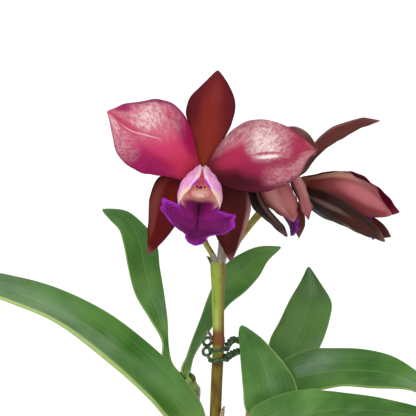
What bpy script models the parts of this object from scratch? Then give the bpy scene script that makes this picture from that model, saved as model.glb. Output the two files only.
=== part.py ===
# Cattleya orchid in a plain clay pot: four leafy stems on a creeping rhizome, one staked flower stem
# with three blooms, and the twisted wire tie that holds it.
# Metres, +Z up. The origin is the centre of the pot's flat base, and the open bloom faces -Y.

import math
import random

import bmesh
import bpy
import numpy as np

for leftover in list(bpy.data.objects):
    bpy.data.objects.remove(leftover)

# Driving dimensions

SEAT_GAP = 0.0003  # clearance between two pieces that rest on each other

POT_HEIGHT = 0.095
POT_BASE_RADIUS = 0.039
POT_TOP_RADIUS = 0.052
POT_WALL = 0.0045
POT_FLOOR = 0.006
RIM_HEIGHT = 0.017
RIM_PROUD = 0.003
DRAIN_RADIUS = 0.0045
DRAIN_CIRCLE = 0.022
DRAIN_COUNT = 4

BARK_LEVEL = 0.083
BARK_CHIPS = 40

RHIZOME_RADIUS = 0.0036
STEM_SEAT_Z = 0.0915  # flat tops of the rhizome's joints, where the leafy stems stand
STEM_FOOT_RADIUS = 0.0042
APEX_RADIUS = 0.0068  # flat top of a leafy stem, where its leaves stand

PEDUNCLE_RADIUS = 0.0025
STAKE_RADIUS = 0.0019
TIE_WIRE = 0.0007

# Finishes


def material(name, colour, roughness, metallic=0.0):
    """A Principled finish in the part's own colour."""
    made = bpy.data.materials.new(name)
    made.use_nodes = True
    shader = made.node_tree.nodes["Principled BSDF"]
    shader.inputs["Base Color"].default_value = (*colour, 1.0)
    shader.inputs["Roughness"].default_value = roughness
    shader.inputs["Metallic"].default_value = metallic
    return made


CLAY = material("clay", (0.56, 0.24, 0.12), 0.85)
BARK = material("bark", (0.16, 0.08, 0.04), 0.9)
STEM_GREEN = material("stem_green", (0.30, 0.36, 0.12), 0.5)
LEAF_GREEN = material("leaf_green", (0.07, 0.22, 0.04), 0.35)
STALK_GREEN = material("stalk_green", (0.35, 0.42, 0.10), 0.45)
SHEATH_STRAW = material("sheath_straw", (0.62, 0.53, 0.33), 0.7)
CANE = material("cane", (0.55, 0.42, 0.20), 0.6)
TIE_GREEN = material("tie_green", (0.03, 0.12, 0.05), 0.45)
SEPAL_RED = material("sepal_red", (0.20, 0.02, 0.02), 0.5)
PETAL_MAGENTA = material("petal_magenta", (0.45, 0.03, 0.14), 0.4)
LIP_PURPLE = material("lip_purple", (0.25, 0.01, 0.30), 0.45)
COLUMN_ROSE = material("column_rose", (0.62, 0.22, 0.18), 0.45)

# Shared shape tools


def add_mesh(name, points, faces, finish):
    """One smooth-shaded object from world points and faces."""
    mesh = bpy.data.meshes.new(name)
    mesh.from_pydata([tuple(p) for p in points], [], faces)
    mesh.materials.append(finish)
    mesh.shade_smooth()
    mesh.set_sharp_from_angle(angle=math.radians(50))
    made = bpy.data.objects.new(name, mesh)
    bpy.context.scene.collection.objects.link(made)
    return made


def unit(v):
    return v / np.linalg.norm(v)


def between(stops, s):
    """Smooth value at s through (place, value) stops, level at its highest and lowest stops."""
    places = [p for p, _ in stops]
    values = [np.asarray(v, float) for _, v in stops]
    if s <= places[0]:
        return values[0]
    for i in range(len(stops) - 1):
        if s <= places[i + 1]:
            width = places[i + 1] - places[i]
            t = (s - places[i]) / width
            rise = (values[i + 1] - values[i]) / width
            before = (values[i] - values[i - 1]) / (places[i] - places[i - 1]) if i else rise
            last = i + 2 >= len(stops)
            after = rise if last else (values[i + 2] - values[i + 1]) / (places[i + 2] - places[i + 1])
            start = np.where(before * rise > 0, (before + rise) / 2, 0.0)
            end = np.where(rise * after > 0, (rise + after) / 2, 0.0)
            a = 2 * t**3 - 3 * t**2 + 1
            b = t**3 - 2 * t**2 + t
            c = -2 * t**3 + 3 * t**2
            d = t**3 - t**2
            return a * values[i] + b * width * start + c * values[i + 1] + d * width * end
    return values[-1]


def curve_through(points, count, start=None):
    """(points, tangents) of a smooth curve through the given points, evenly spaced along its length."""
    points = [np.asarray(p, float) for p in points]
    gaps = [np.linalg.norm(b - a) for a, b in zip(points, points[1:])]
    slopes = []
    for i in range(len(points)):
        if i == 0:
            first = (points[1] - points[0]) / gaps[0]
            slopes.append(first if start is None else unit(np.asarray(start, float)))
        elif i == len(points) - 1:
            slopes.append((points[i] - points[i - 1]) / gaps[i - 1])
        else:
            back = (points[i] - points[i - 1]) / gaps[i - 1]
            ahead = (points[i + 1] - points[i]) / gaps[i]
            slopes.append((back * gaps[i] + ahead * gaps[i - 1]) / (gaps[i] + gaps[i - 1]))
    fine = []
    for i, gap in enumerate(gaps):
        for t in np.linspace(0, 1, 24, endpoint=i == len(gaps) - 1):
            fine.append(
                (2 * t**3 - 3 * t**2 + 1) * points[i]
                + (t**3 - 2 * t**2 + t) * gap * slopes[i]
                + (3 * t**2 - 2 * t**3) * points[i + 1]
                + (t**3 - t**2) * gap * slopes[i + 1]
            )
    return evenly(np.array(fine), count)


def evenly(fine, count):
    """(points, tangents) at even steps along a line of many points."""
    run = np.concatenate([[0], np.cumsum(np.linalg.norm(np.diff(fine, axis=0), axis=1))])
    at = np.linspace(0, run[-1], count)
    points = np.stack([np.interp(at, run, fine[:, k]) for k in range(3)], 1)
    tangents = np.gradient(points, axis=0)
    return points, tangents / np.linalg.norm(tangents, axis=1)[:, None]


def section(half_width, fold, keel, across):
    """(sideways, upwards) offsets across a blade whose slope grows from 0 at its midrib to fold at its edges.
    A keel of 1 gives a round channel, and a smaller one a sharper V."""
    places = np.linspace(-1, 1, across)
    fine = np.linspace(0, 1, 41)
    slope = fold * fine**keel
    mids = (slope[1:] + slope[:-1]) / 2
    out = np.concatenate([[0], np.cumsum(np.cos(mids))]) / 40
    up = np.concatenate([[0], np.cumsum(np.sin(mids))]) / 40
    side = np.sign(places) * np.interp(np.abs(places), fine, out)
    return half_width * side, half_width * np.interp(np.abs(places), fine, up)


def solid_blade(grid, thickness, foot_axis=None):
    """(points, faces) of a sheet of points, given a thickness along its own normals. Both faces are cut
    into triangles alike. foot_axis keeps its first edge square to that direction."""
    rows, cols = grid.shape[:2]
    along = np.gradient(grid, axis=0)
    sideways = np.gradient(grid, axis=1)
    normal = np.cross(sideways, along)
    if foot_axis is not None:
        normal[0] -= (normal[0] @ foot_axis)[:, None] * foot_axis
    normal /= np.linalg.norm(normal, axis=2)[..., None]
    lift = normal * thickness[..., None] / 2
    points = np.concatenate([(grid + lift).reshape(-1, 3), (grid - lift).reshape(-1, 3)])
    under = rows * cols
    faces = []
    for i in range(rows - 1):
        for j in range(cols - 1):
            a, b = i * cols + j, i * cols + j + 1
            c, d = b + cols, a + cols
            for tri in ((a, b, c), (a, c, d)):
                faces.append(tri)
                faces.append(tuple(under + k for k in reversed(tri)))
    rim = [j for j in range(cols)]
    rim += [i * cols + cols - 1 for i in range(1, rows)]
    rim += [(rows - 1) * cols + j for j in range(cols - 2, -1, -1)]
    rim += [i * cols for i in range(rows - 2, 0, -1)]
    for a, b in zip(rim, rim[1:] + rim[:1]):
        faces.append((b, a, under + a))
        faces.append((b, under + a, under + b))
    return points, faces


def rings(centres, tangents, radii, sides, widen=1.0):
    """(points, faces) of a closed round solid with a ring of points round each centre. widen stretches
    the rings sideways, by one value or by one for each ring."""
    points, faces = [], []
    widen = np.broadcast_to(widen, len(centres))
    reference = np.array([0.0, 1.0, 0.0]) if abs(tangents[0][1]) < 0.9 else np.array([1.0, 0.0, 0.0])
    for centre, tangent, radius, wide in zip(centres, tangents, radii, widen):
        reference = unit(reference - tangent * (reference @ tangent))
        other = np.cross(tangent, reference)
        for k in range(sides):
            turn = 2 * math.pi * k / sides
            points.append(centre + radius * (math.cos(turn) * reference * wide + math.sin(turn) * other))
    for i in range(len(centres) - 1):
        for k in range(sides):
            a, b = i * sides + k, i * sides + (k + 1) % sides
            faces.append((a, b, b + sides, a + sides))
    faces.append(tuple(range(sides - 1, -1, -1)))
    faces.append(tuple(range((len(centres) - 1) * sides, len(centres) * sides)))
    return points, faces


def tube(name, route, radius, sides, count, finish, start=None):
    """A round rod along a smooth route. radius is one value, or stops along the rod."""
    centres, tangents = curve_through(route, count, start)
    stops = radius if isinstance(radius, list) else [(0, radius), (1, radius)]
    radii = [float(between(stops, s)) for s in np.linspace(0, 1, count)]
    return add_mesh(name, *rings(centres, tangents, radii, sides), finish)


def looped_tube(name, centres, radius, sides, finish):
    """A closed ring of wire through the given centres."""
    centres = np.array(centres)
    count = len(centres)
    middle = centres.mean(axis=0)
    points, faces = [], []
    for i in range(count):
        tangent = unit(centres[(i + 1) % count] - centres[i - 1])
        outward = centres[i] - middle
        outward = unit(outward - tangent * (outward @ tangent))
        other = np.cross(tangent, outward)
        for k in range(sides):
            turn = 2 * math.pi * k / sides
            points.append(centres[i] + radius * (math.cos(turn) * outward + math.sin(turn) * other))
    for i in range(count):
        for k in range(sides):
            a, b = i * sides + k, i * sides + (k + 1) % sides
            shift = ((i + 1) % count - i) * sides
            faces.append((a, b, b + shift, a + shift))
    return add_mesh(name, points, faces, finish)


def unite(body, pieces, solver="EXACT"):
    """Fuses pieces into body with one Boolean union, then removes them."""
    group = bpy.data.collections.new(body.name + "_pieces")
    for piece in pieces:
        group.objects.link(piece)
    join = body.modifiers.new("join", "BOOLEAN")
    join.operation = "UNION"
    join.operand_type = "COLLECTION"
    join.collection = group
    join.solver = solver
    apply_modifiers(body)
    for piece in pieces:
        bpy.data.objects.remove(piece)
    bpy.data.collections.remove(group)
    return body


def cut(body, cutter):
    """Cuts cutter out of body, then removes the cutter."""
    trim = body.modifiers.new("cut", "BOOLEAN")
    trim.operation = "DIFFERENCE"
    trim.object = cutter
    apply_modifiers(body)
    bpy.data.objects.remove(cutter)


def apply_modifiers(body):
    bpy.context.view_layer.update()
    evaluated = body.evaluated_get(bpy.context.evaluated_depsgraph_get())
    mesh = bpy.data.meshes.new_from_object(evaluated)
    body.modifiers.clear()
    cleaned = bmesh.new()
    cleaned.from_mesh(mesh)
    bmesh.ops.remove_doubles(cleaned, verts=cleaned.verts, dist=2e-5)
    bmesh.ops.dissolve_degenerate(cleaned, edges=cleaned.edges, dist=1e-6)
    bmesh.ops.triangulate(cleaned, faces=cleaned.faces)
    drop_slivers(cleaned)
    cleaned.to_mesh(mesh)
    cleaned.free()
    body.data = mesh


def drop_slivers(cleaned):
    """Removes what a Boolean leaves apart from the body: flat scraps of a few faces, and pairs of faces
    laid back to back."""
    twins = {}
    for face in cleaned.faces:
        twins.setdefault(frozenset(v.index for v in face.verts), []).append(face)
    doubled = [face for group in twins.values() if len(group) > 1 for face in group]
    if doubled:
        bmesh.ops.delete(cleaned, geom=doubled, context="FACES")
    left = set(cleaned.faces)
    while left:
        island, edge = set(), [left.pop()]
        while edge:
            face = edge.pop()
            island.add(face)
            for side in face.edges:
                for other in side.link_faces:
                    if other in left:
                        left.discard(other)
                        edge.append(other)
        if len(island) < 8:
            bmesh.ops.delete(cleaned, geom=list(island), context="FACES")


def upright_cylinder(name, place, radius, low, high, sides, finish):
    centres = [np.array([place[0], place[1], z]) for z in (low, high)]
    up = np.array([0.0, 0.0, 1.0])
    return add_mesh(name, *rings(centres, [up, up], [radius, radius], sides), finish)


# Clay pot


def pot_radius(z):
    """Outer radius of the pot's wall below its rim."""
    return POT_BASE_RADIUS + (POT_TOP_RADIUS - POT_BASE_RADIUS) * z / POT_HEIGHT


def make_pot():
    sides = 32
    rim_low = POT_HEIGHT - RIM_HEIGHT
    chamfer = 0.0015
    profile = [
        (pot_radius(0) - chamfer, 0.0),
        (pot_radius(0), chamfer),
        (pot_radius(rim_low), rim_low),
        (pot_radius(rim_low) + RIM_PROUD, rim_low + chamfer),
        (POT_TOP_RADIUS + RIM_PROUD, POT_HEIGHT - chamfer),
        (POT_TOP_RADIUS + RIM_PROUD - chamfer, POT_HEIGHT),
        (POT_TOP_RADIUS - POT_WALL + chamfer, POT_HEIGHT),
        (POT_TOP_RADIUS - POT_WALL, POT_HEIGHT - chamfer),
        (pot_radius(POT_FLOOR) - POT_WALL, POT_FLOOR),
    ]
    points = [
        (r * math.cos(2 * math.pi * k / sides), r * math.sin(2 * math.pi * k / sides), z)
        for r, z in profile
        for k in range(sides)
    ]
    faces = []
    for i in range(len(profile) - 1):
        for k in range(sides):
            a, b = i * sides + k, i * sides + (k + 1) % sides
            faces.append((a, b, b + sides, a + sides))
    faces.append(tuple(range(sides - 1, -1, -1)))
    faces.append(tuple(range((len(profile) - 1) * sides, len(profile) * sides)))
    pot = add_mesh("pot", points, faces, CLAY)
    for k in range(DRAIN_COUNT):
        turn = math.pi / 4 + 2 * math.pi * k / DRAIN_COUNT
        place = (DRAIN_CIRCLE * math.cos(turn), DRAIN_CIRCLE * math.sin(turn))
        cut(pot, upright_cylinder("drain", place, DRAIN_RADIUS, -0.01, POT_FLOOR + 0.01, 12, CLAY))


# Leafy stems: foot on the rhizome, flat apex where the leaves stand, and swelling

LEAFY_STEMS = {
    "back_left": {"foot": (-0.009, 0.008), "apex": (-0.0125, 0.0120, 0.1905), "belly": 0.0078},
    "flowering": {"foot": (0.002, -0.001), "apex": (0.0005, 0.0, 0.1665), "belly": 0.0082},
    "back_right": {"foot": (0.022, 0.010), "apex": (0.0310, 0.0150, 0.1830), "belly": 0.0082},
    "right": {"foot": (0.026, -0.004), "apex": (0.0280, -0.0080, 0.1700), "belly": 0.0080},
    "front": {"foot": (0.012, -0.015), "apex": (0.0140, -0.0180, 0.1690), "belly": 0.0082},
}


def make_leafy_stem(name, foot, apex, belly):
    low = np.array([*foot, STEM_SEAT_Z + SEAT_GAP])
    high = np.array(apex)
    route = [
        low,
        low + (high - low) * [0.15, 0.15, 0.33],
        low + (high - low) * [0.8, 0.8, 0.75],
        high,
    ]
    swelling = [
        (0, STEM_FOOT_RADIUS),
        (0.08, STEM_FOOT_RADIUS * 1.15),
        (0.5, belly * 0.86),
        (0.72, belly),
        (0.9, belly * 0.86),
        (1, APEX_RADIUS),
    ]
    count, sides = 10, 10
    centres, tangents = curve_through(route, count, start=(0, 0, 1))
    tangents[0] = tangents[-1] = (0, 0, 1)
    radii = [float(between(swelling, s)) for s in np.linspace(0, 1, count)]
    return add_mesh("leafy_stem_" + name, *rings(centres, tangents, radii, sides), STEM_GREEN)


# Rhizome: a creeping stem half sunk in the bark, with a flat joint under each leafy stem

RHIZOME_MAIN = [
    (-0.020, 0.015, 0.0855), (-0.009, 0.008, 0.0865), (0.002, -0.001, 0.0865), (0.012, -0.015, 0.0865),
    (0.017, -0.023, 0.0855),
]
RHIZOME_BRANCHES = [
    [
        (0.002, -0.001, 0.0865), (0.007, 0.008, 0.0865), (0.014, 0.0105, 0.0865), (0.022, 0.010, 0.0865),
        (0.031, 0.012, 0.0855),
    ],
    [(0.002, -0.001, 0.0865), (0.014, -0.004, 0.0865), (0.026, -0.004, 0.0865), (0.034, -0.003, 0.0855)],
]


def rhizome_solid(name, grow):
    """The rhizome, or with a grow above 0 the larger shape that its bed in the bark takes."""
    radius = RHIZOME_RADIUS + grow
    taper = [(0, radius * 0.6), (0.12, radius), (0.88, radius), (1, radius * 0.6)]

    def longer(route):
        ends = np.array(route)
        ends[0] += grow * unit(ends[0] - ends[1])
        ends[-1] += grow * unit(ends[-1] - ends[-2])
        return list(ends)

    main = tube(name, longer(RHIZOME_MAIN), taper, 8, 10, STEM_GREEN)
    pieces = [tube("branch", longer(route), taper, 8, 8, STEM_GREEN) for route in RHIZOME_BRANCHES]
    for place in LEAFY_STEMS.values():
        joint = STEM_FOOT_RADIUS + 0.0007 + grow
        low, high = BARK_LEVEL - 0.001 - grow, STEM_SEAT_Z + grow
        pieces.append(upright_cylinder("joint", place["foot"], joint, low, high, 10, STEM_GREEN))
    return unite(main, pieces)


# Bark: a filled bed with chips standing out of its surface

STAKE_FOOT = (0.0160, 0.0035, 0.012)
STAKE_TOP = (0.0160, 0.0035, 0.2135)


def make_bark():
    sides = 32
    low, high = POT_FLOOR + SEAT_GAP, BARK_LEVEL
    clear = SEAT_GAP + 0.0002

    def inner(z):
        taper = (POT_TOP_RADIUS - POT_BASE_RADIUS) / POT_HEIGHT
        return POT_BASE_RADIUS + taper * z - POT_WALL - clear

    up = np.array([0.0, 0.0, 1.0])
    centres = [np.array([0, 0, z]) for z in (low, high)]
    bed = add_mesh("potting_bark", *rings(centres, [up, up], [inner(low), inner(high)], sides), BARK)
    draw = random.Random(7)
    chips = []
    golden = math.pi * (3 - math.sqrt(5))
    for k in range(BARK_CHIPS):
        reach = (inner(high) - 0.0080) * math.sqrt((k + 0.5) / BARK_CHIPS)
        turn = golden * k
        chips.append(bark_chip(draw, reach * math.cos(turn), reach * math.sin(turn), high))
    unite(bed, chips)
    cut(bed, rhizome_solid("bed_of_rhizome", SEAT_GAP))
    hole = (STAKE_FOOT[0], STAKE_FOOT[1])
    low = STAKE_FOOT[2] - SEAT_GAP
    cut(bed, upright_cylinder("bed_of_stake", hole, STAKE_RADIUS + SEAT_GAP, low, 0.12, 10, BARK))
    return bed


def bark_chip(draw, x, y, level):
    """One wedge-sided chip, turned and tipped at random, with its root well into the bed."""
    long, wide = draw.uniform(0.0045, 0.0060), draw.uniform(0.0032, 0.0045)
    deep = draw.uniform(0.0026, 0.0038)
    spin, tip = draw.uniform(0, math.pi), math.radians(draw.uniform(-24, 24))
    points = []
    for sz in (-1, 1):
        narrow = 1.0 if sz < 0 else draw.uniform(0.7, 0.9)
        for sx, sy in ((-1, -1), (1, -1), (1, 1), (-1, 1)):
            px, py, pz = sx * long * narrow, sy * wide * narrow, sz * deep
            px, pz = px * math.cos(tip) - pz * math.sin(tip), px * math.sin(tip) + pz * math.cos(tip)
            points.append((
                x + px * math.cos(spin) - py * math.sin(spin),
                y + px * math.sin(spin) + py * math.cos(spin),
                level + pz - 0.0002,
            ))
    faces = [(3, 2, 1, 0), (4, 5, 6, 7), (0, 1, 5, 4), (1, 2, 6, 5), (2, 3, 7, 6), (3, 0, 4, 7)]
    return add_mesh("chip", points, faces, BARK)


# Blades: every leaf, sepal and petal is a sheet between its two edges, as seen on its upper side with the
# tip pointing up. The points are in millimetres.


def blade_grid(foot, left, right, fold, keel, count, across, start=None):
    """A blade's middle surface. foot holds the two ends of its base. fold holds stops along the blade of
    how far each half leans, in degrees: up for a channel, and down for edges that fall back."""
    rows = [np.array(foot)] + [np.array([a, b], float) for a, b in zip(left, right)]
    rows = np.array(rows)
    steps = np.linalg.norm(np.diff(rows.mean(axis=1), axis=0), axis=1)
    run = np.concatenate([[0], np.cumsum(steps)])
    grid = np.zeros((count, across, 3))
    edges = [smooth_rows(rows, run, at, start) for at in np.linspace(0, run[-1], count)]
    middles = np.array([e.mean(axis=0) for e in edges])
    tangents = np.gradient(middles, axis=0)
    if start is not None:
        tangents[0] = start
    for i, s in enumerate(np.linspace(0, 1, count)):
        low, high = edges[i]
        half = np.linalg.norm(high - low) / 2
        side = (high - low) / (2 * half)
        normal = unit(np.cross(side, tangents[i]))
        lean = math.radians(float(between(fold, s)))
        sideways, upwards = section(1.0, abs(lean), float(between(keel, s)), across)
        scale = half / sideways[-1]
        rise = (upwards - upwards[-1]) * scale * math.copysign(1, lean)
        grid[i] = middles[i] + (sideways * scale)[:, None] * side + rise[:, None] * normal
    return grid


def smooth_rows(rows, run, at, start):
    """The pair of edge points at a distance along the blade, on smooth curves through the given rows."""
    i = min(int(np.searchsorted(run, at, side="right")) - 1, len(run) - 2)
    gaps = np.diff(run)
    t = (at - run[i]) / gaps[i]

    def slope(k):
        if k == 0:
            first = (rows[1] - rows[0]) / gaps[0]
            return first if start is None else np.array([start, start]) * 1.0
        if k == len(run) - 1:
            return (rows[k] - rows[k - 1]) / gaps[k - 1]
        back, ahead = (rows[k] - rows[k - 1]) / gaps[k - 1], (rows[k + 1] - rows[k]) / gaps[k]
        return (back * gaps[k] + ahead * gaps[k - 1]) / (gaps[k] + gaps[k - 1])

    return (
        (2 * t**3 - 3 * t**2 + 1) * rows[i]
        + (t**3 - 2 * t**2 + t) * gaps[i] * slope(i)
        + (3 * t**2 - 2 * t**3) * rows[i + 1]
        + (t**3 - t**2) * gaps[i] * slope(i + 1)
    )


def make_blade(name, grid, middle, edge, finish, foot_axis=None):
    """A solid blade, thick along its midrib and thinner to its edges, foot and tip."""
    count, across = grid.shape[:2]
    outward = np.abs(np.linspace(-1, 1, across)) ** 1.5
    along = [(0, 0.85), (0.25, 1), (0.8, 0.85), (1, 0.6)]
    taper = np.array([between(along, s) for s in np.linspace(0, 1, count)])
    thickness = (middle + (edge - middle) * outward)[None, :] * taper[:, None]
    return add_mesh(name, *solid_blade(grid, np.maximum(thickness, 0.0007), foot_axis), finish)


# Leaves: each stands upright on a stem's apex, clasping its centre, with its back towards heading

CLASP_FOLD = 70

LEAVES = {
    "left_long": {"stem": "flowering", "heading": 195, "clasp": 0.0050, "fold": 22,
        "left": [
            (-15, -7, 175.5), (-27, -14, 189), (-39.5, -21, 202.5), (-54, -28, 215.5),
            (-68.5, -33, 226), (-85, -36, 234), (-98, -35, 238.5), (-110.5, -27, 242.5),
        ],
        "right": [
            (-4, 1, 182), (-16.5, -1, 200.5), (-28.5, -2, 212), (-45, -4, 225), (-62.5, -7, 234),
            (-81.5, -12, 241), (-96.5, -18, 244.5), (-110, -25, 243),
        ],
    },
    "left_upright": {"stem": "back_left", "heading": 150, "clasp": 0.0036, "fold": 26,
        "left": [
            (-22, 14, 203), (-22, 16, 209.5), (-27.5, 20, 219), (-34, 24, 230), (-37.5, 28, 241.5),
            (-39.5, 31, 251), (-41.5, 33.5, 257.5), (-45.5, 35.5, 261.5), (-49.5, 37.5, 265.5),
        ],
        "right": [
            (-18.5, 14, 202), (-19.5, 17, 209.5), (-20, 21, 218.5), (-21.5, 26, 229.5),
            (-23.5, 30, 241), (-25.5, 33, 253), (-31, 35, 260), (-38.5, 36.5, 265.5),
            (-48.5, 37.5, 266.5),
        ],
    },
    "back_centre": {"stem": "back_left", "heading": -30, "clasp": 0.0036, "fold": 26,
        "left": [
            (-13.5, 14, 196.5), (-11.5, 17, 203), (-9, 20, 210), (-5.5, 24, 218.5), (-1.5, 29, 229.5),
            (4, 34, 240), (12, 38, 246), (20, 41, 249), (30, 44, 249),
        ],
        "right": [
            (-10.5, 14, 195.5), (-8.5, 17, 203), (-4.5, 20, 209.5), (0.5, 24, 216.5), (7, 28, 224.5),
            (14.5, 32, 230), (21, 36, 237), (24.5, 40, 242.5), (30.5, 44, 248),
        ],
    },
    "right_upright": {"stem": "back_right", "heading": 130, "clasp": 0.0036, "fold": 22,
        "left": [
            (29, 18, 187), (25.5, 23, 197), (25, 28, 207.5), (30, 33, 217), (34.5, 37, 226),
            (39, 40.5, 233), (42.5, 44, 239.5),
        ],
        "right": [
            (34.5, 19, 188), (41, 25, 196), (48, 31, 206), (52, 35, 217), (53, 38, 224.5),
            (50, 41, 230), (43.5, 44, 239.5),
        ],
    },
    "right_arching": {"stem": "back_right", "heading": -20, "clasp": 0.0036, "fold": 24,
        "left": [
            (33.5, 16, 187.5), (30.5, 14, 201), (40.5, 15, 206), (53.5, 14, 207), (66.5, 11, 207),
            (78, 6, 204.5), (88, 0, 199), (96, -6, 193.5), (102.5, -13, 188),
        ],
        "right": [
            (32, 8, 186), (39, 1, 190.5), (45.5, -2, 191.5), (55.5, -6, 193.5), (66, -10, 194),
            (75.5, -13, 194), (84.5, -15, 193), (92.5, -15, 190), (102, -14, 187),
        ],
    },
    "front_upright": {"stem": "right", "heading": 100, "clasp": 0.0036, "fold": 22,
        "left": [
            (21.5, -7, 174.5), (14.5, -6, 182.5), (13, -5, 192.5), (12, -3, 202.5), (11.5, -2, 209.5),
            (11, -1, 215), (11.5, 0, 219),
        ],
        "right": [
            (30.5, -9, 174), (37, -9, 183), (36, -9, 193), (32, -8, 201.5), (26, -6, 209),
            (19, -4, 215.5), (13.5, -0.5, 219),
        ],
    },
    "front_arching": {"stem": "front", "heading": -20, "clasp": 0.0036, "fold": 22,
        "left": [
            (15.5, -14, 177.5), (16, -12, 183.5), (23.5, -14, 189), (34, -20, 193.5), (46, -27, 195),
            (59.5, -35, 194.5), (73.5, -44, 193.5), (85.5, -53, 192), (95, -63.5, 188.5),
        ],
        "right": [
            (15.5, -23, 171.5), (22.5, -31, 174.5), (32, -38, 179), (42, -45, 182.5), (53, -52, 185.5),
            (64.5, -59, 187.5), (75.5, -63, 187.5), (85, -65, 187.5), (95, -65, 188.5),
        ],
    },
}


def make_leaf(name, spec):
    apex = np.array(LEAFY_STEMS[spec["stem"]]["apex"])
    turn, wrap = math.radians(spec["heading"]), math.radians(CLASP_FOLD)
    outward = np.array([math.cos(turn), math.sin(turn), 0])
    rightward = np.array([math.sin(turn), -math.cos(turn), 0])
    level = apex + [0, 0, SEAT_GAP]
    foot = [
        level + spec["clasp"] * (outward * math.cos(wrap) - rightward * math.sin(wrap)),
        level + spec["clasp"] * (outward * math.cos(wrap) + rightward * math.sin(wrap)),
    ]
    fold = [(0, CLASP_FOLD), (0.08, CLASP_FOLD - 15), (0.4, spec["fold"]), (1, spec["fold"] * 0.5)]
    keel = [(0, 1.0), (0.08, 1.0), (0.4, 0.5), (1, 0.7)]
    left, right = (np.array(spec[k]) / 1000 for k in ("left", "right"))
    up = np.array([0.0, 0.0, 1.0])
    grid = blade_grid(foot, left, right, fold, keel, 15, 7, start=up)
    make_blade("leaf_" + name, grid, 0.0024, 0.0010, LEAF_GREEN, up)


# Flower stem, its dry sheath, its stake and the tie

PEDUNCLE_ROUTE = [
    (0.0005, 0, 0.1668), (0.0010, 0, 0.1795), (0.0016, 0, 0.1953), (0.0023, 0, 0.2105), (0.0022, 0, 0.2301),
    (0.0022, 0, 0.2470),
]
PEDUNCLE_TOP = np.array([0.0022, 0.0, 0.2470])


def make_peduncle():
    slim = PEDUNCLE_RADIUS
    swelling = [(0, slim), (0.53, slim), (0.56, slim * 1.12), (0.6, slim), (0.85, slim * 1.14)]
    swelling.append((1, slim * 1.35))
    centres, tangents = curve_through(PEDUNCLE_ROUTE, 16, start=(0, 0, 1))
    tangents[0] = tangents[-1] = (0, 0, 1)
    radii = [float(between(swelling, s)) for s in np.linspace(0, 1, 16)]
    return add_mesh("flower_stem", *rings(centres, tangents, radii, 12), STALK_GREEN)


SHEATH_RADIUS = 0.0033
SHEATH_HEIGHT = 0.0165


def make_sheath():
    """The papery sleeve round the flower stem's foot, split down its back and higher on one side."""
    count, across = 6, 15
    base = np.array([0.0005, 0.0, 0.1665 + SEAT_GAP])
    grid = np.zeros((count, across, 3))
    for i in range(count):
        for j in range(across):
            turn = math.radians(-60 + 315 * j / (across - 1))
            top = SHEATH_HEIGHT * (0.78 + 0.22 * math.cos(turn))
            z = top * i / (count - 1)
            x, y = SHEATH_RADIUS * math.cos(turn), SHEATH_RADIUS * math.sin(turn)
            grid[i, j] = base + [x + 0.055 * z, y, z]
    add_mesh("sheath", *solid_blade(grid, np.full((count, across), 0.0007)), SHEATH_STRAW)


def make_stake():
    centres = [np.array(STAKE_FOOT), np.array(STAKE_TOP)]
    up = np.array([0.0, 0.0, 1.0])
    return add_mesh("stake", *rings(centres, [up, up], [STAKE_RADIUS, STAKE_RADIUS], 10), CANE)


TIE_STEM_CENTRE = (0.0023, 0.0)
TIE_BANDS = [0.2086, 0.2043]
TIE_STAKE_RINGS = [0.2104, 0.2078]
TIE_STEM_LOOP = PEDUNCLE_RADIUS * 1.12 + SEAT_GAP + TIE_WIRE
TIE_STAKE_LOOP = STAKE_RADIUS + SEAT_GAP + TIE_WIRE
TIE_CURLS = [(-0.0024, 0.0016, 0.2121), (-0.0026, 0.0016, 0.2078)]
TIE_CURL_RADIUS = 0.0017


def level_ring(place, z, radius, tilt, count):
    """Points round a ring that lies level, or tilted up to one side by tilt radians."""
    ring = []
    for k in range(count):
        turn = 2 * math.pi * k / count
        x, y = radius * math.cos(turn), radius * math.sin(turn)
        ring.append((place[0] + x, place[1] + y, z + x * math.tan(tilt)))
    return ring


def twisted_bar(low, high, bow):
    """Two strands of wire twisted hard together, as one oval bar that turns along its length, bowed up."""
    low, high = np.array(low), np.array(high)
    along = unit(high - low)
    up = unit(np.cross(np.cross(along, (0, 0, 1.0)), along))
    other = np.cross(along, up)
    count, sides = 15, 8
    points, faces = [], []
    for i in range(count):
        s = i / (count - 1)
        middle = low + (high - low) * s + bow * math.sin(math.pi * s) * up
        twist = 2 * math.pi * 1.6 * s
        wide = TIE_WIRE * (2.1 + 0.9 * (1 - s) ** 3)
        a = math.cos(twist) * up + math.sin(twist) * other
        b = math.cos(twist) * other - math.sin(twist) * up
        for k in range(sides):
            turn = 2 * math.pi * k / sides
            points.append(middle + wide * math.cos(turn) * a + TIE_WIRE * 1.1 * math.sin(turn) * b)
    for i in range(count - 1):
        for k in range(sides):
            a, b = i * sides + k, i * sides + (k + 1) % sides
            faces.append((a, b, b + sides, a + sides))
    faces.append(tuple(range(sides - 1, -1, -1)))
    faces.append(tuple(range((count - 1) * sides, count * sides)))
    return add_mesh("bar", points, faces, TIE_GREEN)


def wire_ring(name, centres):
    return looped_tube(name, centres, TIE_WIRE, 6, TIE_GREEN)


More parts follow.
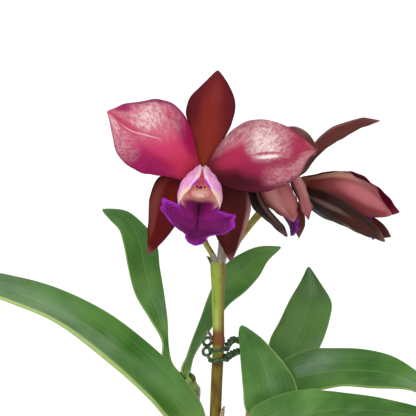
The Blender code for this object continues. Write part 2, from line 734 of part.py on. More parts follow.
def make_tie():
    """One wire: two bands round the flower stem, two spare curls, and two twisted bars to rings on the stake."""
    stake = STAKE_FOOT[:2]
    high_band, low_band = TIE_BANDS
    body = wire_ring("tie", level_ring(TIE_STEM_CENTRE, high_band, TIE_STEM_LOOP, 0.10, 16))
    pieces = [wire_ring("low_band", level_ring(TIE_STEM_CENTRE, low_band, TIE_STEM_LOOP, 0.14, 16))]
    for x, y, z in TIE_CURLS:
        ring = []
        for k in range(10):
            turn = 2 * math.pi * k / 10
            out, up = math.cos(turn), math.sin(turn)
            ring.append((x + TIE_CURL_RADIUS * out, y + 0.0012 * out, z + TIE_CURL_RADIUS * up))
        pieces.append(wire_ring("curl", ring))
        link = [(x + 0.0004, y - 0.0001, z - 0.0015), (-0.0014, 0.0004, z - 0.0039)]
        pieces.append(tube("link", link, TIE_WIRE * 0.9, 6, 3, TIE_GREEN))
    for band, ring_z, bow in zip(TIE_BANDS, TIE_STAKE_RINGS, (0.0030, 0.0006)):
        pieces.append(wire_ring("stake_ring", level_ring(stake, ring_z, TIE_STAKE_LOOP, 0.08, 12)))
        low = (TIE_STEM_CENTRE[0] + TIE_STEM_LOOP - 0.0003, 0.0008, band + 0.0003)
        high = (stake[0] - TIE_STAKE_LOOP + 0.0003, stake[1] - 0.0002, ring_z)
        pieces.append(twisted_bar(low, high, bow))
    return unite(body, pieces)


# Blooms: each looks along forward, with its middle sepal towards dorsal. The points of its sepals and
# petals are in millimetres from its centre.

SEPAL_THICKNESS = 0.0012
PETAL_THICKNESS = 0.0010
WHORL_RADIUS = 0.0020
SEPAL_LAYER = -0.0010  # how far in front of the bloom's centre the sepals' bases lie
PETAL_LAYER = 0.0004
OVARY_FACE = -0.0019
COLUMN_FACE = 0.0012

TEPALS = {
    "dorsal_sepal": {"turn": 0, "kind": "sepal"},
    "left_petal": {"turn": -70, "kind": "petal"},
    "right_petal": {"turn": 70, "kind": "petal"},
    "left_lateral_sepal": {"turn": -130, "kind": "sepal"},
    "right_lateral_sepal": {"turn": 130, "kind": "sepal"},
}

BLOOMS = {
    "open": {
        "centre": (-4.5, -14, 287.5), "forward": (0, -1, 0), "dorsal": (0.10, 0, 0.995),
        "dorsal_sepal": {"fold": 10, "keel": 0.7,
            "left": [
                (-2.5, 1, 5), (-4, 1.5, 12), (-6, 2.5, 19.5), (-7, 3.5, 25.5), (-5, 4.5, 31),
                (-0.5, 5.5, 35.5), (6, 6, 42),
            ],
            "right": [
                (3.5, 1, 5), (8, 1.5, 11.5), (12, 2.5, 18.5), (14, 3.5, 27), (13, 4.5, 32),
                (10.5, 5.5, 37), (7, 6, 42),
            ],
        },
        "left_petal": {"fold": -20, "keel": 1.0,
            "left": [
                (-7, -1.5, -3.5), (-13.5, -1.5, -3), (-21, -1, -2), (-28.5, -0.5, 0), (-35, 0, 5),
                (-38, 0.5, 13.5), (-39.5, 1, 20.5), (-40.5, 1.5, 24),
            ],
            "right": [
                (-2.5, -1.5, 7.5), (-5.5, -2, 19), (-11.5, -2, 27.5), (-19, -1.5, 30), (-26, -1, 29),
                (-33, 0, 28), (-37.5, 1, 26), (-40.5, 1.5, 25),
            ],
        },
        "right_petal": {"fold": -20, "keel": 1.0,
            "left": [
                (5, -1.5, 8), (11, -2, 15.5), (18.5, -2, 20.5), (26, -1.5, 21.5), (33, -1, 19.5),
                (39.5, 0, 16.5), (44.5, 1, 12), (48, 1.5, 8.5),
            ],
            "right": [
                (8.5, -1.5, -6), (15.5, -1.5, -8.5), (22.5, -1, -9.5), (29.5, -0.5, -8.5),
                (36.5, 0, -6), (41.5, 0.5, -1.5), (45, 1, 4.5), (48, 1.5, 7.5),
            ],
        },
        "left_lateral_sepal": {"fold": -12, "keel": 1.0,
            "left": [
                (-3.5, 2, -8), (-6.5, 2.5, -14.5), (-9, 2.5, -20), (-12.5, 2.5, -25.5), (-17, 2, -31),
                (-22.5, 3, -36.5),
            ],
            "right": [
                (-11, 2, -2.5), (-18, 3.5, -3), (-22.5, 5, -12.5), (-23, 5.5, -22), (-23.5, 4.5, -29.5),
                (-23.5, 3, -36.5),
            ],
        },
        "right_lateral_sepal": {"fold": -12, "keel": 1.0,
            "left": [
                (11, 2, -5), (18, 3.5, -8), (20.5, 5, -15.5), (19, 5.5, -24.5), (16, 4.5, -32),
                (12.5, 3, -39.5),
            ],
            "right": [
                (3, 2, -8), (4, 2.5, -14.5), (4.5, 2.5, -21), (5.5, 2.5, -28), (8.5, 2, -33.5),
                (11.5, 3, -39.5),
            ],
        },
    },
    "nodding": {
        "centre": (23.5, 14, 284.5), "forward": (0.66, 0, -0.75), "dorsal": (0.75, 0, 0.66),
        "dorsal_sepal": {"fold": 30, "keel": 0.8,
            "left": [
                (2, -5, 8), (6, -7, 12.5), (10.5, -7, 15), (15, -5.5, 15), (18, -3.5, 12), (20, -1, 9),
                (20, 1, 7),
            ],
            "right": [
                (2.5, 6, 10), (6.5, 8, 16), (11.5, 9, 18.5), (16.5, 8, 16.5), (20, 6, 13.5),
                (22, 3.5, 10), (20.5, 2, 6.5),
            ],
        },
        "left_petal": {"fold": 38, "keel": 0.5,
            "left": [
                (-3.5, -9, -4.5), (-5, -11, -8.5), (-2, -11, -12.5), (2.5, -10, -16), (7.5, -8, -19),
                (11.5, -5, -21.5),
            ],
            "right": [
                (6.5, -8, -1), (10, -8, -5.5), (12, -8, -10), (13, -7, -14), (13, -5.5, -18),
                (12, -4.5, -21),
            ],
        },
        "right_petal": {"fold": 30, "keel": 0.7,
            "left": [
                (4.8, 1, 1), (8.8, 0, -2.5), (11.3, 0, -7.5), (13.4, 0, -12), (15.4, 0.5, -17),
                (18.3, 2, -21.5),
            ],
            "right": [
                (8, 6, 2), (13.5, 7, -1.5), (16.5, 7, -6), (19, 6, -12), (19.5, 4.5, -17),
                (18.5, 2.5, -21),
            ],
        },
        "left_lateral_sepal": {"fold": 22, "keel": 0.8,
            "left": [
                (-7, -11, -2.5), (-9, -14.5, -7.5), (-7.5, -16, -12), (-3.5, -15.5, -17),
                (2.5, -14, -22.5), (8, -10.5, -27.5),
            ],
            "right": [
                (-2.5, -15.5, -4), (-3, -17.5, -8), (-0.5, -19, -13), (3.5, -18.5, -18),
                (7, -15.5, -22), (9, -11, -27),
            ],
        },
        "right_lateral_sepal": {"fold": 25, "keel": 0.8,
            "left": [
                (-2, 6, -5.5), (0.5, 9, -11), (5, 10.5, -16), (9, 10, -21), (12, 8.5, -25.5),
                (14, 6, -29.5),
            ],
            "right": [
                (1, 7, -3), (8, 10.5, -7), (13, 11.5, -13), (16.5, 11, -18.5), (17, 9, -24),
                (14.5, 6.5, -29.5),
            ],
        },
    },
    "side": {
        "centre": (38.5, 36, 279), "forward": (0.94, 0, -0.34), "dorsal": (0.34, 0, 0.94),
        "dorsal_sepal": {"fold": 30, "keel": 0.8,
            "left": [
                (2.5, -5.5, 4.5), (5.5, -7.5, 9), (9, -9, 13), (15, -9.5, 17.5), (22, -8.5, 21.5),
                (28.5, -6, 24.5), (35.5, -2, 26.5),
            ],
            "right": [
                (1.5, 1, 6), (4, 3.5, 9.5), (7, 5.5, 15), (13, 6.5, 21.5), (21, 5.5, 25.5),
                (28, 3, 27.5), (35.5, -1.5, 27),
            ],
        },
        "left_petal": {"fold": 45, "keel": 0.9,
            "left": [
                (8, -10, -5), (14.5, -11, -8), (21, -12, -12), (27, -11.5, -14.5), (33, -10, -15.5),
                (37.5, -8, -15.5), (40.5, -6, -15),
            ],
            "right": [
                (7, -4, 2.5), (14.5, -2, 4), (21.5, -1, 3.5), (28, -1, 0.5), (33.5, -2, -3.5),
                (37.5, -4, -9.5), (41, -5.5, -14.5),
            ],
        },
        "right_petal": {"fold": 40, "keel": 0.9,
            "left": [
                (7.5, 3.5, 2.5), (15, 2.5, 4), (22.5, 3, 3.5), (29.5, 3, 1), (36, 2, -4), (40.5, 1, -9),
                (44.5, 0, -13.5),
            ],
            "right": [
                (8.5, 8, -5), (16, 10, -8), (23, 11, -11.5), (29.5, 10, -14.5), (35.5, 8, -16),
                (40, 5, -16), (44.5, 1, -14.5),
            ],
        },
        "left_lateral_sepal": {"fold": 25, "keel": 0.8,
            "left": [
                (2, -6, -9.5), (8, -8, -14.5), (16.5, -10, -18), (24, -11, -21.5), (30.5, -11, -24),
                (34.5, -11, -25.5), (37.5, -10, -26.5),
            ],
            "right": [
                (5, -10, -2.5), (11.5, -15, -3.5), (18.5, -17, -7), (25, -17, -11.5), (31, -15, -17),
                (35, -12.5, -21), (37.5, -10, -25.5),
            ],
        },
        "right_lateral_sepal": {"fold": 25, "keel": 0.8,
            "left": [
                (7, 10, -6), (14, 14, -9), (21.5, 15.5, -12.5), (28.5, 15, -15.5), (35, 12.5, -18),
                (39, 8, -21.5), (41, 3, -25),
            ],
            "right": [
                (6, 8, -11), (11.5, 12, -16.5), (19, 12.5, -20.5), (26.5, 11.5, -23.5),
                (33.5, 8.5, -26), (38, 5, -26), (41, 3, -25.5),
            ],
        },
    },
}


def bloom_frame(bloom):
    centre = np.array(bloom["centre"]) / 1000
    forward = unit(np.array(bloom["forward"], float))
    dorsal = np.array(bloom["dorsal"], float)
    dorsal = unit(dorsal - forward * (dorsal @ forward))
    return centre, forward, dorsal, np.cross(dorsal, forward)


def make_tepal(bloom_name, name):
    bloom = BLOOMS[bloom_name]
    centre, forward, dorsal, rightward = bloom_frame(bloom)
    sepal = TEPALS[name]["kind"] == "sepal"
    turn = math.radians(TEPALS[name]["turn"])
    outward = dorsal * math.cos(turn) + rightward * math.sin(turn)
    side = np.cross(outward, forward)
    middle = centre + WHORL_RADIUS * outward + forward * (SEPAL_LAYER if sepal else PETAL_LAYER)
    half = 0.0017 if sepal else 0.0013
    spec = bloom[name]
    left, right = (centre + np.array(spec[k]) / 1000 for k in ("left", "right"))
    fold = [(0, 4 if spec["fold"] > 0 else -4), (0.35, spec["fold"]), (1, spec["fold"] * 0.4)]
    keel = [(0, 1.0), (0.35, spec["keel"]), (1, 1.0)]
    grid = blade_grid([middle - half * side, middle + half * side], left, right, fold, keel, 10, 7)
    thick = SEPAL_THICKNESS if sepal else PETAL_THICKNESS
    make_blade(bloom_name + "_" + name, grid, thick, 0.0008, SEPAL_RED if sepal else PETAL_MAGENTA)


# Lip: a tube of two side lobes round the column, then a waist and a spread middle lobe. Along it, half is
# half its width laid flat, curl is how far its edges lean up from its floor in degrees, and sweep is how far
# its edges are drawn back towards its base. Lengths are in millimetres.

LIPS = {
    "open": {
        "floor": [
            (0, -0.6, -3.6), (0, -4.5, -7.5), (0, -9.5, -13.5), (0, -14, -20), (0, -17, -25.5),
            (0, -18, -30.5),
        ],
        "curl": [
            (0, 165), (0.13, 177), (0.33, 176), (0.42, 173), (0.5, 164), (0.56, 147), (0.6, 120), (0.63, 90),
            (0.67, 45), (0.74, 20), (0.82, 5), (1, -10),
        ],
        "half": [
            (0, 9.2), (0.09, 14.5), (0.17, 19), (0.25, 22), (0.33, 25.5), (0.42, 26), (0.5, 25), (0.56, 20.7),
            (0.6, 16.7), (0.64, 14), (0.70, 16), (0.76, 15.8), (0.82, 12), (0.87, 5), (0.94, 4.2), (1, 1.2),
        ],
        "sweep": [(0, 0), (0.6, 0), (0.66, 4), (0.72, 7), (0.78, 5), (0.84, 1), (0.9, 0), (1, 0)],
    },
    "nodding": {
        "floor": [
            (0, -1.0, -3.3), (0, -7, -5.5), (0, -14, -6.5), (0, -20, -7), (0, -25, -8), (0, -28, -10),
        ],
        "curl": [(0, 120), (0.15, 168), (0.3, 150), (0.5, 130), (0.65, 110), (0.8, 90), (1, 60)],
        "half": [(0, 6), (0.15, 9), (0.3, 9.5), (0.5, 8.5), (0.65, 5.6), (0.8, 5.6), (0.92, 4), (1, 1.2)],
        "sweep": [(0, 0), (1, 0)],
    },
    "side": {
        "floor": [
            (0, -1.0, -3.3), (0, -9, -6), (0, -18, -7.5), (0, -27, -8.5), (0, -35, -10.5),
            (0, -40, -13),
        ],
        "curl": [(0, 120), (0.15, 168), (0.3, 150), (0.5, 130), (0.62, 105), (0.75, 75), (0.88, 45), (1, 20)],
        "half": [(0, 4.8), (0.15, 9.2), (0.3, 10.6), (0.5, 10.5), (0.62, 8), (0.78, 10.5), (0.9, 9), (1, 1.2)],
        "sweep": [(0, 0), (1, 0)],
    },
}
LIP_THICKNESS = 0.0009


def lip_grid(bloom_name, count, across):
    """The lip's middle surface, in the bloom's place."""
    centre, forward, dorsal, rightward = bloom_frame(BLOOMS[bloom_name])
    lip = LIPS[bloom_name]
    floor, tangents = curve_through([np.array(p) / 1000 for p in lip["floor"]], count, start=(0, -0.9, -0.45))
    grid = np.zeros((count, across, 3))
    for i, s in enumerate(np.linspace(0, 1, count)):
        normal = np.array([0.0, tangents[i][2], -tangents[i][1]])
        curl = math.radians(float(between(lip["curl"], s)))
        half = float(between(lip["half"], s)) / 1000
        sideways, upwards = section(half, abs(curl), 1.0, across)
        local = floor[i] + sideways[:, None] * np.array([1.0, 0, 0])
        local = local + (upwards * math.copysign(1, curl))[:, None] * normal
        sweep = float(between(lip["sweep"], s)) / 1000
        local = local - sweep * (np.linspace(-1, 1, across) ** 2)[:, None] * tangents[i]
        grid[i] = centre + local[:, :1] * rightward - local[:, 1:2] * forward + local[:, 2:] * dorsal
    return grid


def make_lip(bloom_name):
    grid = lip_grid(bloom_name, 20 if bloom_name == "open" else 14, 11)
    thickness = np.full(grid.shape[:2], LIP_THICKNESS)
    add_mesh(bloom_name + "_lip", *solid_blade(grid, thickness), LIP_PURPLE)


COLUMNS = {  # droop in degrees, length, and share of the open bloom's girth
    "open": (38, 0.0165, 0.95),
    "nodding": (19, 0.0115, 0.55),
    "side": (18, 0.0145, 0.55),
}


def make_column(bloom_name):
    centre, forward, dorsal, _ = bloom_frame(BLOOMS[bloom_name])
    droop, length, girth = COLUMNS[bloom_name]
    foot = centre + forward * COLUMN_FACE
    axis = forward * math.cos(math.radians(droop)) - dorsal * math.sin(math.radians(droop))
    route = [foot, foot + axis * length * 0.35, foot + axis * length * 0.7, foot + axis * length]
    swelling = [(0, 0.0017), (0.15, 0.0018), (0.8, 0.0026), (0.95, 0.0023), (1, 0.0013)]
    centres, tangents = curve_through(route, 10)
    tangents[0] = forward
    radii = [girth * float(between(swelling, s)) for s in np.linspace(0, 1, 10)]
    widen = [1 + 0.6 * s**2 for s in np.linspace(0, 1, 10)]
    add_mesh(bloom_name + "_column", *rings(centres, tangents, radii, 10, widen), COLUMN_ROSE)


# Flower stalks: each stands on the flower stem's top and swells into the ovary behind its bloom

STALKS = {
    "open": [(-1.9, -0.4), (-3.5, -3.0, 256), (-5.0, -6.5, 268), (-5.0, -8.5, 280)],
    "nodding": [(1.2, -1.5), (4.0, -0.5, 262), (9.0, 6.0, 282), (17.0, 12.5, 295.5), (21.5, 14.0, 292.5)],
    "side": [(0.9, 1.5), (10.5, 8.0, 254.5), (16.5, 17.0, 261.5), (22.5, 24.5, 268.0), (31.0, 30.0, 280.0)],
}


def make_stalk(bloom_name):
    centre, forward, _, _ = bloom_frame(BLOOMS[bloom_name])
    (dx, dy), *middle = STALKS[bloom_name]
    foot = PEDUNCLE_TOP + [dx / 1000, dy / 1000, SEAT_GAP]
    head = centre + forward * OVARY_FACE
    route = [foot] + [np.array(p) / 1000 for p in middle] + [head - forward * 0.003, head]
    swelling = [(0, 0.00125), (0.3, 0.0014), (0.75, 0.0020), (0.95, 0.0020), (1, 0.0018)]
    centres, tangents = curve_through(route, 13, start=(0, 0, 1))
    tangents[0], tangents[-1] = (0, 0, 1), forward
    radii = [float(between(swelling, s)) for s in np.linspace(0, 1, 13)]
    add_mesh(bloom_name + "_flower_stalk", *rings(centres, tangents, radii, 8), STALK_GREEN)


make_pot()
make_bark()
rhizome_solid("rhizome", 0.0)
for stem_name, stem in LEAFY_STEMS.items():
    make_leafy_stem(stem_name, **stem)
for leaf_name, leaf in LEAVES.items():
    make_leaf(leaf_name, leaf)
make_peduncle()
make_sheath()
make_stake()
make_tie()
for bloom_name in BLOOMS:
    make_stalk(bloom_name)
    for tepal_name in TEPALS:
        make_tepal(bloom_name, tepal_name)
    make_lip(bloom_name)
    make_column(bloom_name)
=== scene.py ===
import math
import random

import bmesh
import bpy
import numpy as np
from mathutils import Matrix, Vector


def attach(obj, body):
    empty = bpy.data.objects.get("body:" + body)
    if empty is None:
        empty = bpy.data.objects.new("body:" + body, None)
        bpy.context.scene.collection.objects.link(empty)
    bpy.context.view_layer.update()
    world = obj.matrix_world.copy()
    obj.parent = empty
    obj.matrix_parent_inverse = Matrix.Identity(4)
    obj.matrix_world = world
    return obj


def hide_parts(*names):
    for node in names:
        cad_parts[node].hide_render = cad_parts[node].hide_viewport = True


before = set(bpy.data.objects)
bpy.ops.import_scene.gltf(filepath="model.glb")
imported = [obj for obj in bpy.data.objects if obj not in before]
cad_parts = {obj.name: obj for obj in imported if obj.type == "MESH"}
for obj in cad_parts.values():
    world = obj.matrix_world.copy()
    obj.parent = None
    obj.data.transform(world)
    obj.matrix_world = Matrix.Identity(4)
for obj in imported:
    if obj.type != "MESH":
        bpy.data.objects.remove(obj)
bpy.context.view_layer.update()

# Camera, light and floor
# The plant stands on a white table that is lit from below as well, under a broad soft light from above and
# to the left. It is seen square on to its open bloom, from a little over the height of its leaves.

LOOK_AT = Vector((-0.00215, 0.0, 0.270))
CAMERA_AWAY = 1.10
CAMERA_RISE = math.radians(5)
WIDTH_IN_VIEW = 0.179

camera = bpy.data.objects.new("camera", bpy.data.cameras.new("camera"))
bpy.context.scene.collection.objects.link(camera)
camera.location = LOOK_AT + CAMERA_AWAY * Vector((0, -math.cos(CAMERA_RISE), math.sin(CAMERA_RISE)))
camera.rotation_euler = (LOOK_AT - camera.location).to_track_quat("-Z", "Y").to_euler()
camera.data.sensor_width = 36
camera.data.lens = 36 * CAMERA_AWAY / WIDTH_IN_VIEW
bpy.context.scene.camera = camera


def softbox(name, heading, rise, spread, power):
    """A large soft light far off, at a heading and a rise seen from the plant, spread over an angle, in degrees."""
    lamp = bpy.data.lights.new(name, "SUN")
    lamp.energy, lamp.angle = power, math.radians(spread)
    stand = bpy.data.objects.new(name, lamp)
    bpy.context.scene.collection.objects.link(stand)
    turn, up = math.radians(heading), math.radians(rise)
    away = Vector((math.cos(turn) * math.cos(up), math.sin(turn) * math.cos(up), math.sin(up)))
    stand.location = away
    stand.rotation_euler = (-away).to_track_quat("-Z", "Y").to_euler()


softbox("overhead_box", -125, 52, 34, 1.9)
softbox("front_fill", -60, 22, 50, 0.55)
softbox("back_rim", 55, 40, 40, 0.6)

studio = bpy.data.worlds.new("white_studio")
studio.use_nodes = True
sky = studio.node_tree
look = sky.nodes.new("ShaderNodeTexCoord")
height = sky.nodes.new("ShaderNodeSeparateXYZ")
fade = sky.nodes.new("ShaderNodeMapRange")
fade.interpolation_type = "SMOOTHSTEP"
for socket, value in {1: 0.02, 2: 0.14, 3: 1.0, 4: 0.24}.items():
    fade.inputs[socket].default_value = value
sky.links.new(look.outputs["Generated"], height.inputs[0])
sky.links.new(height.outputs[2], fade.inputs[0])
sky.links.new(fade.outputs[0], sky.nodes["Background"].inputs["Strength"])
sky.nodes["Background"].inputs["Color"].default_value = (1, 1, 1, 1)
bpy.context.scene.world = studio
bpy.context.scene.view_settings.view_transform = "Standard"


def tint(red, green, blue):
    """A colour as the eye reads it, 0 to 255, for a shader's socket."""
    return tuple((c / 255 / 12.92) if c < 10.3 else ((c / 255 + 0.055) / 1.055) ** 2.4 for c in (red, green, blue)) + (1.0,)


class Finish:
    """One Principled finish. Each call adds a node and returns its socket, for the next call to use."""

    def __init__(self, name, colour, roughness, **constants):
        self.material = bpy.data.materials.new(name)
        self.material.use_nodes = True
        self.tree = self.material.node_tree
        self.shader = self.tree.nodes["Principled BSDF"]
        self.shader.inputs["Base Color"].default_value = colour
        self.shader.inputs["Roughness"].default_value = roughness
        for socket, value in constants.items():
            self.shader.inputs[socket.replace("_", " ").title().replace("Ior", "IOR")].default_value = value

    def add(self, kind, inputs, out=0, **settings):
        made = self.tree.nodes.new("ShaderNode" + kind)
        for key, value in settings.items():
            setattr(made, key, value)
        for key, value in inputs.items():
            if isinstance(value, bpy.types.NodeSocket):
                self.tree.links.new(value, made.inputs[key])
            else:
                made.inputs[key].default_value = value
        return made.outputs[out]

    def math(self, operation, a, b=0.0):
        return self.add("Math", {0: a, 1: b}, operation=operation)

    def across_along(self):
        """The two places on a piece's own surface: across it, and along it from its foot."""
        both = self.add("SeparateXYZ", {0: self.add("UVMap", {}, uv_map="surface")}).node
        return both.outputs[0], both.outputs[1]

    def stretched(self, across, along, a, b):
        return self.add("CombineXYZ", {0: self.math("MULTIPLY", across, a), 1: self.math("MULTIPLY", along, b)})

    def in_space(self, x=1.0, y=1.0, z=1.0):
        where = self.add("TexCoord", {}, out=3)
        return self.add("Mapping", {"Vector": where, "Scale": (x, y, z)})

    def noise(self, where, scale, detail=3.0, rough=0.5):
        return self.add("TexNoise", {"Vector": where, "Scale": scale, "Detail": detail, "Roughness": rough})

    def cells(self, where, scale):
        return self.add("TexVoronoi", {"Vector": where, "Scale": scale})

    def smooth(self, value, low, high, to_low=0.0, to_high=1.0):
        return self.add("MapRange", {0: value, 1: low, 2: high, 3: to_low, 4: to_high}, interpolation_type="SMOOTHSTEP")

    def ramp(self, value, stops):
        made = self.add("ValToRGB", {0: value})
        bands = made.node.color_ramp
        bands.interpolation = "B_SPLINE" if len(stops) > 3 else "EASE"
        while len(bands.elements) < len(stops):
            bands.elements.new(1.0)
        for band, (place, colour) in zip(bands.elements, stops):
            band.position, band.color = place, colour
        return made

    def mix(self, share, a, b, way="MIX"):
        made = self.add("Mix", {0: share, 6: a, 7: b}, out=2, data_type="RGBA", blend_type=way)
        return made

    def paint(self, colour):
        self.tree.links.new(colour, self.shader.inputs["Base Color"])

    def gloss(self, roughness):
        self.tree.links.new(roughness, self.shader.inputs["Roughness"])

    def relief(self, height, depth, strength=1.0):
        """Fine relief, depth metres from a height of 0 to one of 1."""
        made = self.add("Bump", {"Height": height, "Distance": depth, "Strength": strength})
        self.tree.links.new(made, self.shader.inputs["Normal"])


table = Finish("table_white", tint(248, 248, 248), 0.8, specular_ior_level=0.1, emission_color=(1, 1, 1, 1), emission_strength=0.27)
floor = bpy.data.objects.new("table_top", bpy.data.meshes.new("table_top"))
bpy.context.scene.collection.objects.link(floor)
top = bmesh.new()
bmesh.ops.create_circle(top, cap_ends=True, radius=120.0, segments=96)
top.to_mesh(floor.data)
top.free()
floor.data.materials.append(table.material)

# Clay pot
# A thrown and fired terracotta pot with a rolled band for a rim and four drain holes, unglazed. Water has
# drawn salts to its rim and darkened its foot.

POT_HEIGHT = 0.095
POT_BASE_RADIUS = 0.039
POT_TOP_RADIUS = 0.052
POT_WALL = 0.0045
POT_FLOOR = 0.006
RIM_HEIGHT = 0.017
RIM_PROUD = 0.003


def patch(rows, cols, around=False, first=0, flip=False):
    """Four-sided faces over a grid of points, and each corner's place across and along it."""
    i, j = (a.ravel() for a in np.mgrid[0 : rows - 1, 0 : cols if around else cols - 1])
    corners = [(i, j), (i, j + 1), (i + 1, j + 1), (i + 1, j)]
    if flip:
        corners.reverse()
    wide = cols if around else cols - 1
    faces = np.stack([first + a * cols + b % cols for a, b in corners], 1)
    places = np.stack([np.stack([b / wide, a / (rows - 1)], 1) for a, b in corners], 1)
    return faces, places


def piece(name, points, parts, nodes=()):
    """One smooth piece on the plant's body. parts holds (faces, places, finish); nodes are what it stands for."""
    mesh = bpy.data.meshes.new(name)
    mesh.from_pydata(np.asarray(points).tolist(), [], np.concatenate([p[0] for p in parts]).tolist())
    layer = mesh.uv_layers.new(name="surface")
    layer.data.foreach_set("uv", np.concatenate([p[1] for p in parts]).astype(np.float32).ravel())
    which = []
    for k, (faces, _, finish) in enumerate(parts):
        mesh.materials.append(finish.material)
        which += [k] * len(faces)
    mesh.polygons.foreach_set("material_index", which)
    mesh.shade_smooth()
    made = bpy.data.objects.new(name, mesh)
    bpy.context.scene.collection.objects.link(made)
    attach(made, "root")
    if nodes:
        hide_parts(*nodes)
    return made


def turned(profile, sides):
    """Points of a shape turned on a wheel: a ring for each (radius, height), turned so that faces look out."""
    turn = 2 * np.pi * np.arange(sides) / sides
    return np.array([[(r * math.cos(t), r * math.sin(t), z) for t in turn] for r, z in profile]).reshape(-1, 3)


def rounded(corners, radius, steps=4):
    """A profile with each corner between its ends rounded off."""
    corners = [np.array(c, float) for c in corners]
    line = [corners[0]]
    for before, corner, after in zip(corners, corners[1:], corners[2:]):
        r = min(radius, 0.45 * np.linalg.norm(corner - before), 0.45 * np.linalg.norm(after - corner))
        a = corner + (before - corner) / np.linalg.norm(before - corner) * r
        b = corner + (after - corner) / np.linalg.norm(after - corner) * r
        for t in np.linspace(0, 1, steps + 1):
            line.append((1 - t) ** 2 * a + 2 * t * (1 - t) * corner + t**2 * b)
    return line + [corners[-1]]


def finely(profile, step):
    """The same line with points no further apart than step."""
    line = [profile[0]]
    for a, b in zip(profile, profile[1:]):
        count = max(1, math.ceil(np.linalg.norm(np.subtract(b, a)) / step))
        line += [a + (np.array(b) - a) * k / count for k in range(1, count + 1)]
    return line


def pot_radius(z):
    return POT_BASE_RADIUS + (POT_TOP_RADIUS - POT_BASE_RADIUS) * z / POT_HEIGHT


clay = Finish("terracotta", tint(178, 98, 62), 0.86, specular_ior_level=0.25)
spot = clay.in_space()
height = clay.add("SeparateXYZ", {0: spot}, out=2)
cloud = clay.noise(spot, 22.0, 5.0, 0.6)
fired = clay.ramp(cloud, [(0.25, tint(158, 82, 50)), (0.5, tint(181, 101, 64)), (0.75, tint(198, 120, 80))])
speck = clay.smooth(clay.noise(spot, 900.0, 2.0), 0.62, 0.72)
fired = clay.mix(clay.math("MULTIPLY", speck, 0.35), fired, tint(120, 60, 38))
damp = clay.smooth(clay.math("ADD", height, clay.math("MULTIPLY", cloud, 0.03)), 0.012, 0.042, 0.45, 0.0)
fired = clay.mix(damp, fired, tint(112, 62, 42))
salt = clay.math("MULTIPLY", clay.smooth(clay.noise(spot, 60.0, 6.0, 0.7), 0.5, 0.7), clay.smooth(height, 0.055, 0.094))
fired = clay.mix(clay.math("MULTIPLY", salt, 0.55), fired, tint(226, 208, 192))
clay.paint(fired)
wheel_lines = clay.noise(clay.in_space(3, 3, 420), 1.0, 2.0)
grit = clay.noise(spot, 1400.0, 3.0, 0.6)
clay.relief(clay.math("ADD", wheel_lines, clay.math("MULTIPLY", grit, 0.6)), 0.00035, 0.6)

rim_low = POT_HEIGHT - RIM_HEIGHT
outline = [
    (0.0006, 0.0), (pot_radius(0), 0.0), (pot_radius(rim_low), rim_low), (pot_radius(rim_low) + RIM_PROUD, rim_low + 0.001),
    (POT_TOP_RADIUS + RIM_PROUD, POT_HEIGHT), (POT_TOP_RADIUS - POT_WALL, POT_HEIGHT),
    (pot_radius(POT_FLOOR) - POT_WALL, POT_FLOOR), (0.0006, POT_FLOOR),
]
outline = finely(rounded(outline, 0.0017), 0.004)
faces, places = patch(len(outline), 128, around=True)
pot = piece("clay_pot", turned(outline, 128), [(faces, places, clay)], ["pot"])
for k in range(4):
    turn = math.pi / 4 + math.pi / 2 * k
    drill = bpy.data.objects.new("drill", bpy.data.meshes.new("drill"))
    bpy.context.scene.collection.objects.link(drill)
    shape = bmesh.new()
    bmesh.ops.create_cone(shape, cap_ends=True, radius1=0.0045, radius2=0.0045, depth=0.03, segments=32)
    bmesh.ops.translate(shape, verts=shape.verts, vec=(0.022 * math.cos(turn), 0.022 * math.sin(turn), 0.0))
    shape.to_mesh(drill.data)
    shape.free()
    hole = pot.modifiers.new("drain", "BOOLEAN")
    hole.operation, hole.object = "DIFFERENCE", drill
    bpy.context.view_layer.update()
    pot.data = bpy.data.meshes.new_from_object(pot.evaluated_get(bpy.context.evaluated_depsgraph_get()))
    pot.modifiers.clear()
    bpy.data.objects.remove(drill)

# Potting bark
# Graded fir bark, in broken flat chips up to a centimetre long. It fills the pot to just under the rim and
# holds the plant by its roots.

BARK_LEVEL = 0.083
STEM_FEET = [(-0.009, 0.008), (0.002, -0.001), (0.022, 0.010), (0.026, -0.004), (0.012, -0.015)]

bark = Finish("fir_bark", tint(92, 58, 38), 0.9, specular_ior_level=0.2)
spot = bark.in_space()
tone = bark.noise(spot, 130.0, 4.0, 0.6)
shade = bark.ramp(tone, [(0.3, tint(58, 34, 22)), (0.5, tint(104, 66, 42)), (0.72, tint(150, 104, 70))])
layers = bark.noise(bark.in_space(0.25, 0.25, 1.0), 1500.0, 3.0, 0.6)
shade = bark.mix(bark.smooth(layers, 0.5, 0.75, 0.0, 0.6), shade, tint(48, 28, 18))
bark.paint(shade)
bark.relief(bark.math("ADD", layers, bark.noise(spot, 700.0, 4.0, 0.7)), 0.0005, 0.8)

draw = random.Random(11)


